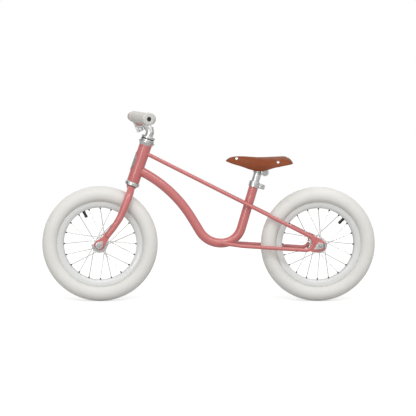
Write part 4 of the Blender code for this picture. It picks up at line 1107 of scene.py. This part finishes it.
def make_axle(prefix, centre, plate_y, tab_angle, tab_reach, body):
    inner_face = plate_y - PLATE_THICKNESS / 2
    washer_low = plate_y + PLATE_THICKNESS / 2
    nut_low = washer_low + WASHER_THICKNESS
    axle_end = nut_low + 0.0098
    thread = []
    for step in range(int((axle_end - inner_face) / THREAD_PITCH) - 1):
        height = axle_end - 0.0008 - step * THREAD_PITCH
        thread += [(AXLE_RADIUS, height), (AXLE_RADIUS - 0.0004, height - THREAD_PITCH / 2)]
    half = [(AXLE_RADIUS - 0.0008, axle_end)] + thread + [(AXLE_RADIUS, inner_face), (0.0076, inner_face),
                                                          (0.0078, inner_face - 0.0008), (0.0078, 0.0335),
                                                          (AXLE_RADIUS, 0.0333)]
    profile = half + opposite(half)
    add(lathe(prefix + "_threaded_axle", profile, aim(centre, Y_AXIS), 40, False, 0.0001), STEEL, body,
        prefix + "_axle", smooth=50)
    outline = teardrop_outline(centre, WASHER_RADIUS, tab_angle, tab_reach, WASHER_NOSE_RADIUS, 64)
    across = Y_AXIS * axle_end
    for side_name, side in SIDES:
        matrix = aim(centre, Y_AXIS * side)
        washer = plate("washer", outline, 0.0014, side * (washer_low + 0.0007), 0.0002)
        washer = combine(washer, "DIFFERENCE", [pin("washer_hole", centre, across, AXLE_RADIUS + 0.0001)])
        washer.name = prefix + "_retainer_" + side_name
        add(washer, CHROME, body, prefix + "_tab_washer_" + side_name)
        nut = hex_prism(prefix + "_nut_" + side_name, 0.0081, nut_low, nut_low + NUT_HEIGHT,
                        AXLE_RADIUS, matrix)
        add(nut, CHROME, body, prefix + "_axle_nut_" + side_name)


def make_wheels():
    for prefix, centre, valve_degrees in (("front", FRONT_AXLE, 117), ("rear", REAR_AXLE, 45)):
        angle = math.radians(valve_degrees)
        make_tyre(prefix, centre)
        make_rim(prefix, centre, angle)
        make_hub(prefix, centre)
        make_valve(prefix, centre, angle)
    make_axle("front", FRONT_AXLE, FRONT_PLATE_Y, FRONT_TAB_ANGLE, FRONT_TAB_REACH, "fork")
    make_axle("rear", REAR_AXLE, REAR_PLATE_Y, REAR_TAB_ANGLE, REAR_TAB_REACH, "frame")


# ---------------------------------------------------------------- stem and handlebar
def make_stem():
    start = steering_point(0.062)
    path = bent_path((start.x, start.z), math.pi / 2 - HEAD_TILT,
                     [STEM_BEND_START - 0.062, (STEM_BEND_RADIUS, STEM_HEADING), 0.027])
    item = tube("gooseneck", path, QUILL_RADIUS, 48)
    ear_front = EAR_WAY.cross(Y_AXIS)
    if ear_front.x > 0:
        ear_front = -ear_front
    ear_line = BAR_CENTRE + ear_front * EAR_OFFSET
    across = Y_AXIS * CLAMP_HALF_LENGTH
    barrel = pin("barrel", BAR_CENTRE, across, CLAMP_RADIUS, 96)
    ears = box("ears", (EAR_LENGTH, 0.0220, 0.0140),
               side_frame(ear_line + EAR_WAY * EAR_LENGTH / 2, EAR_WAY), 0.002)
    bar_hole = pin("bar_hole", BAR_CENTRE, 2 * across, BAR_MIDDLE_RADIUS + 0.0001, 96)
    split = box("split", (0.0300, 0.0500, 0.0010), side_frame(ear_line + EAR_WAY * 0.0170, EAR_WAY))
    bolt_place = ear_line + EAR_WAY * 0.0213
    reach = ear_front * 0.012
    pinch_hole = pin("pinch_hole", bolt_place, reach, 0.0029, 32)
    spot_face = cylinder("spot_face", bolt_place - ear_front * 0.0070, bolt_place - reach, 0.0050, 48)
    expander_hole = cylinder("expander_hole", steering_point(0.1000), steering_point(0.19), 0.0034, 32)
    head_seat = cylinder("head_seat", steering_point(0.1420), steering_point(0.19), 0.0056, 48)
    item = combine(item, "UNION", [barrel, ears])
    item = combine(item, "DIFFERENCE", [bar_hole, split, pinch_hole, spot_face, expander_hole, head_seat])
    item = melted(item, 0.0005, 6)
    add(item, CHROME, "stem", "quill_stem", smooth=60)
    expander = [(0.0028, 0.1455), (0.0028, 0.1490), (0.0046, 0.1490), (0.0050, 0.1484), (0.0050, 0.1420),
                (0.0030, 0.1420), (0.0030, 0.0410), (0.0052, 0.0410), (0.0052, 0.0370)]
    add(lathe("expander", expander, HEAD_FRAME, 48, False), STEEL, "stem", "stem_expander_bolt")
    face = 0.0070
    pinch = [(0.0026, 0.0066), (0.0026, -face), (0.0046, -face), (0.0046, -face - 0.0024),
             (0.0042, -face - 0.0030)]
    add(lathe("pinch_bolt", pinch, aim(bolt_place, ear_front), 48, False), STEEL, "stem", "stem_clamp_bolt")


def grip_frame(side):
    inner = Vector((GRIP_INNER.x, side * GRIP_INNER.y, GRIP_INNER.z))
    outer = Vector((GRIP_OUTER.x, side * GRIP_OUTER.y, GRIP_OUTER.z))
    return inner, (outer - inner).normalized(), (outer - inner).length


def handlebar_path():
    inner, way, length = grip_frame(1)
    bar_end = inner + way * (length - 0.0045)
    corner = inner - way * 0.0105
    straight_end = BAR_CENTRE + Y_AXIS * 0.0220
    run = corner - straight_end
    middle = rounded_path([BAR_CENTRE, straight_end, straight_end + run * 0.20], [0.03])
    taper = [straight_end + run * share for share in (0.24, 0.28, 0.32, 0.36, 0.40)]
    bend = rounded_path([taper[-1], corner, bar_end], [0.026])[1:]
    half = middle + taper + bend
    thick = BAR_MIDDLE_RADIUS / BAR_RADIUS
    factors = [thick] * len(middle)
    for step in range(len(taper)):
        share = (step + 1) / len(taper)
        factors.append(thick + (1 - thick) * share * share * (3 - 2 * share))
    factors += [1.0] * len(bend)
    mirrored = [Vector((point.x, -point.y, point.z)) for point in reversed(half[1:])]
    return mirrored + half, list(reversed(factors[1:])) + factors


def make_handlebar():
    path, factors = handlebar_path()
    item = tube("swept_bar", path, BAR_RADIUS, 40, factors)
    add(item, PINK, "handlebar", "handlebar")
    for side_name, side in SIDES:
        inner, way, length = grip_frame(side)
        matrix = aim(inner, way)
        bore = BAR_RADIUS + 0.0001
        hole = END_HOLE_RADIUS + 0.0001
        grip = [(0.0095, length), (0.0104, length - 0.0004), (0.0116, length - 0.0001),
                (0.0132, length - 0.0003), (0.0148, length - 0.0016), (0.0156, length - 0.0042),
                (0.0156, length - 0.0078),
                (0.0146, length - 0.0108), (GRIP_RADIUS - 0.0002, length - 0.0122),
                (GRIP_RADIUS, length * 0.5), (GRIP_RADIUS - 0.0002, 0.0135), (GRIP_RADIUS - 0.0010, 0.0128),
                (GRIP_RADIUS - 0.0010, 0.0118), (GRIP_RADIUS, 0.0110), (GRIP_RADIUS, 0.0040),
                (GRIP_RADIUS - 0.0010, 0.0012), (GRIP_RADIUS - 0.0024, 0.0), (bore, 0.0),
                (bore, length - 0.0045), (hole, length - 0.0045), (hole, length)]
        add(lathe("grip_sleeve_" + side_name, grip, matrix, 96, soft=0.0006), GRIP_RUBBER, "handlebar",
            "grip_" + side_name)
        plug = [(0.0030, length - 0.0010), (0.0045, length - 0.0005), (END_HOLE_RADIUS, length - 0.0012),
                (END_HOLE_RADIUS, length - 0.0050), (0.0089, length - 0.0051), (0.0089, length - 0.0160)]
        add(lathe("end_plug_" + side_name, plug, matrix, 48, False), BLACK_RUBBER, "handlebar",
            "bar_end_plug_" + side_name)


# ---------------------------------------------------------------- seat
def make_seat_post():
    top = (CLAMP_BOLT - SEAT_TUBE_TOP).dot(SEAT_AXIS) + 0.0090
    profile = [(POST_RADIUS, top), (POST_RADIUS, -0.075)]
    add(lathe("seat_pillar", profile, SEAT_FRAME, 96, False, 0.0008), CHROME, "seat_post",
        "seat_post")


def make_saddle_clamp():
    height = (CLAMP_BOLT - SEAT_TUBE_TOP).dot(SEAT_AXIS)
    item = ring("clamp_band", POST_RADIUS - 0.002, 0.0122, height - 0.008, height + 0.008,
                SEAT_FRAME, 96, 0.0008)
    half = Y_AXIS * 0.0145
    barrel = pin("core", CLAMP_BOLT, half, 0.0088, 64)
    post_space = cylinder("post_space", seat_point(height - 0.03), seat_point(height + 0.03),
                          POST_RADIUS + 0.0001, 96)
    bolt_space = pin("bolt_space", CLAMP_BOLT, 2 * half, 0.0034, 32)
    item = combine(item, "UNION", [barrel])
    item = combine(item, "DIFFERENCE", [post_space, bolt_space])
    add(item, STEEL, "seat_post", "saddle_clamp")
    lug_low = 0.0147
    lug_high = 0.0285
    for side_name, side in SIDES:
        matrix = aim(CLAMP_BOLT, Y_AXIS * side)
        lug = ring("lug", 0.0034, 0.0100, lug_low, lug_high, matrix, 64, 0.0006)
        jaw_place = Matrix.Translation((CLAMP_BOLT.x, side * (lug_low + lug_high) / 2, RAIL_Z - 0.0018))
        jaw = box("jaw", (0.0200, lug_high - lug_low - 0.0004, 0.0150), jaw_place, 0.0012)
        reach = Vector((0.05, 0.0, 0.0))
        rail_place = Vector((CLAMP_BOLT.x, side * RAIL_Y, RAIL_Z))
        groove = pin("groove", rail_place, reach, RAIL_RADIUS + 0.0001, 48)
        hole = cylinder("lug_hole", CLAMP_BOLT, CLAMP_BOLT + Y_AXIS * side * 0.05, 0.0034, 32)
        lug = combine(lug, "UNION", [jaw])
        lug = combine(lug, "DIFFERENCE", [groove, hole])
        lug.name = "rail_clamp_" + side_name
        add(lug, CHROME, "saddle", "saddle_lug_" + side_name)
    face = lug_high
    bolt = [(0.0058, face + 0.0045), (0.0066, face + 0.0035), (0.0066, face), (0.0030, face), (0.0030, -face),
            (0.0066, -face), (0.0066, -face - 0.0035), (0.0058, -face - 0.0045)]
    add(lathe("clamp_through_bolt", bolt, aim(CLAMP_BOLT, -Y_AXIS), 48, False), STEEL, "saddle",
        "saddle_clamp_bolt")


def make_saddle_frame():
    left = [(0.0745, 0.0045, 0.3580), (0.0790, 0.0055, 0.3560), (0.0840, 0.0072, 0.3545),
            (0.1010, 0.0130, 0.3522), (0.1170, 0.0205, 0.3504), (0.1250, RAIL_Y, RAIL_Z),
            (0.1300, RAIL_Y, RAIL_Z), (0.1520, RAIL_Y, RAIL_Z), (0.1580, RAIL_Y, RAIL_Z),
            (0.1760, 0.0280, 0.3520), (0.1900, 0.0290, 0.3570), (0.1960, 0.0160, 0.3600)]
    right = [(x, -y, z) for x, y, z in reversed(left)]
    item = tube("saddle_rails", closed_path(left + right, 8), RAIL_RADIUS, 20, None, True)
    add(item, STEEL, "saddle", "saddle_frame", smooth=60)


def saddle_half_width(x):
    return 0.0095 + 0.0485 * (0.5 - 0.5 * math.cos(math.pi * min(1.0, x / 0.82))) ** 1.25


def height_along(points, x):
    """Height at x on a smooth curve through (share of the length, height) points."""
    last = len(points) - 1
    index = max(step for step in range(last) if points[step][0] <= x)

    def slope(at):
        before, after = points[max(0, at - 1)], points[min(last, at + 1)]
        return (after[1] - before[1]) / (after[0] - before[0])

    (start, low), (end, high) = points[index], points[index + 1]
    run = end - start
    t = (x - start) / run
    blend = t * t * (3 - 2 * t)
    return (low + (high - low) * blend + run * slope(index) * t * (1 - t) ** 2
            - run * slope(index + 1) * t * t * (1 - t))


def saddle_point(x, across):
    """A point on the leather's outside: x from nose 0 to tail 1, across from -1 to 1."""
    place = SADDLE_NOSE_X + SADDLE_LENGTH * x
    end_round = math.sqrt(max(0.0, 1 - ((x - 0.90) / 0.105) ** 2)) if x > 0.90 else 1.0
    nose_round = math.sqrt(max(0.0, 1 - ((0.07 - x) / 0.075) ** 2)) if x < 0.07 else 1.0
    width = saddle_half_width(x) * end_round * nose_round
    top = height_along(SADDLE_RIDGE, x)
    depth = top - height_along(SADDLE_SKIRT, x)
    return Vector((place, width * math.sin(across * math.pi / 2), top - depth * abs(across) ** 2.4))


def make_saddle_cover():
    stations = [0.003 + 0.989 * index / 96 for index in range(97)]
    shape = bmesh.new()
    grid = [[shape.verts.new(saddle_point(x, -1 + 2 * index / 48)) for index in range(49)] for x in stations]
    for row, next_row in zip(grid, grid[1:]):
        for a, b, c, d in zip(row, row[1:], next_row[1:], next_row):
            shape.faces.new((a, d, c, b))
    item = item_from_shape("leather_cover", shape)
    item.data.materials.append(LEATHER_SKIN)
    item.data.materials.append(LEATHER_EDGE)
    bpy.context.scene.collection.objects.link(item)
    thick = item.modifiers.new("leather", "SOLIDIFY")
    thick.thickness = LEATHER - 0.0004
    thick.offset = -1.0
    thick.material_offset = 1
    thick.material_offset_rim = 1
    bevel = item.modifiers.new("edge", "BEVEL")
    bevel.width = 0.0008
    bevel.segments = 3
    bevel.limit_method = "ANGLE"
    bevel.angle_limit = math.radians(50)
    item = mesh_of(item)
    item.data.shade_smooth()
    item.data.set_sharp_from_angle(angle=math.radians(50))
    add(item, None, "saddle", "saddle_cover", smooth=0)


def make_rivets():
    rivets = []
    for x, across in ((0.158, 0.56), (0.754, 0.75), (0.916, 0.30)):
        for side in (-1, 1):
            place = saddle_point(x, side * across)
            along = saddle_point(x + 0.01, side * across) - place
            over = saddle_point(x, side * (across + 0.02)) - place
            normal = along.cross(over).normalized()
            if normal.z < 0:
                normal = -normal
            profile = [(0.0012, 0.0016), (0.0030, 0.0012), (0.0040, 0.0004), (0.0041, -0.0010)]
            rivets.append(lathe("rivet", profile, aim(place, normal), 40, False, 0.0003))
    add(merged("saddle_rivets", rivets), CHROME, "saddle")


# ---------------------------------------------------------------- kept CAD pieces
def dress_kept_parts():
    """Inner pieces that keep their CAD shape still get a finished surface."""
    for name, look in (("upper_ball_cage", STEEL), ("lower_ball_cage", STEEL), ("stem_wedge", STEEL)):
        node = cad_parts[name]
        node.data.materials.clear()
        node.data.materials.append(look)


# ---------------------------------------------------------------- studio
def make_world():
    """A white backdrop for the camera; for the bike, light from above, front, rear and one side."""
    world = bpy.data.worlds.new("studio")
    world.use_nodes = True
    bpy.context.scene.world = world
    tree = world.node_tree
    tree.nodes.clear()

    def node(kind, *inputs):
        made = tree.nodes.new("ShaderNode" + kind)
        for socket, source in inputs:
            if isinstance(source, bpy.types.NodeSocket):
                tree.links.new(source, made.inputs[socket])
            else:
                made.inputs[socket].default_value = source
        return made

    parts = node("SeparateXYZ", ("Vector", node("TexCoord").outputs["Generated"]))
    glows = []
    for axis, begin, full, strength in SKY_PARTS:
        glow = node("MapRange", ("Value", parts.outputs[axis]), ("From Min", begin), ("From Max", full),
                    ("To Min", 0.0), ("To Max", strength))
        glow.interpolation_type = "SMOOTHSTEP"
        glows.append(glow.outputs["Result"])
    total = glows[0]
    for amount in glows[1:] + [SKY_FLOOR]:
        total = node("Math", (0, total), (1, amount)).outputs["Value"]
    surroundings = node("Background", ("Strength", total))
    backdrop = node("Background", ("Color", (1.0, 1.0, 1.0, 1.0)))
    choice = node("MixShader", ("Fac", node("LightPath").outputs["Is Camera Ray"]),
                  (1, surroundings.outputs["Background"]), (2, backdrop.outputs["Background"]))
    node("OutputWorld", ("Surface", choice.outputs["Shader"]))


def area_light(name, place, size, power):
    light = bpy.data.lights.new(name, "AREA")
    light.shape = "RECTANGLE"
    light.size, light.size_y = size
    light.energy = power
    item = bpy.data.objects.new(name, light)
    bpy.context.scene.collection.objects.link(item)
    item.location = place
    way = Vector(LAMP_TARGET) - Vector(place)
    item.rotation_euler = way.to_track_quat("-Z", "Y").to_euler()


def make_studio():
    shape = bmesh.new()
    bmesh.ops.create_grid(shape, x_segments=1, y_segments=1, size=FLOOR_REACH)
    floor = item_from_shape("studio_floor", shape)
    bpy.context.scene.collection.objects.link(floor)
    floor.data.materials.append(make_floor())
    make_world()
    for lamp in LAMPS:
        area_light(*lamp)

    camera = bpy.data.objects.new("camera", bpy.data.cameras.new("camera"))
    bpy.context.scene.collection.objects.link(camera)
    camera.location = CAMERA_PLACE
    level = (CAMERA_TARGET - CAMERA_PLACE).to_track_quat("-Z", "Y").to_matrix()
    camera.rotation_euler = (level @ Matrix.Rotation(CAMERA_ROLL, 3, "Z")).to_euler()
    camera.data.lens = CAMERA_LENS
    camera.data.sensor_width = 36.0
    bpy.context.scene.camera = camera
    bpy.context.scene.view_settings.view_transform = "Standard"


make_studio()
make_head_tube()
make_main_tube()
make_rear_stays()
make_seat_collar()
make_head_badge()
make_headset()
make_fork()
make_wheels()
make_stem()
make_handlebar()
make_seat_post()
make_saddle_clamp()
make_saddle_frame()
make_saddle_cover()
make_rivets()
dress_kept_parts()
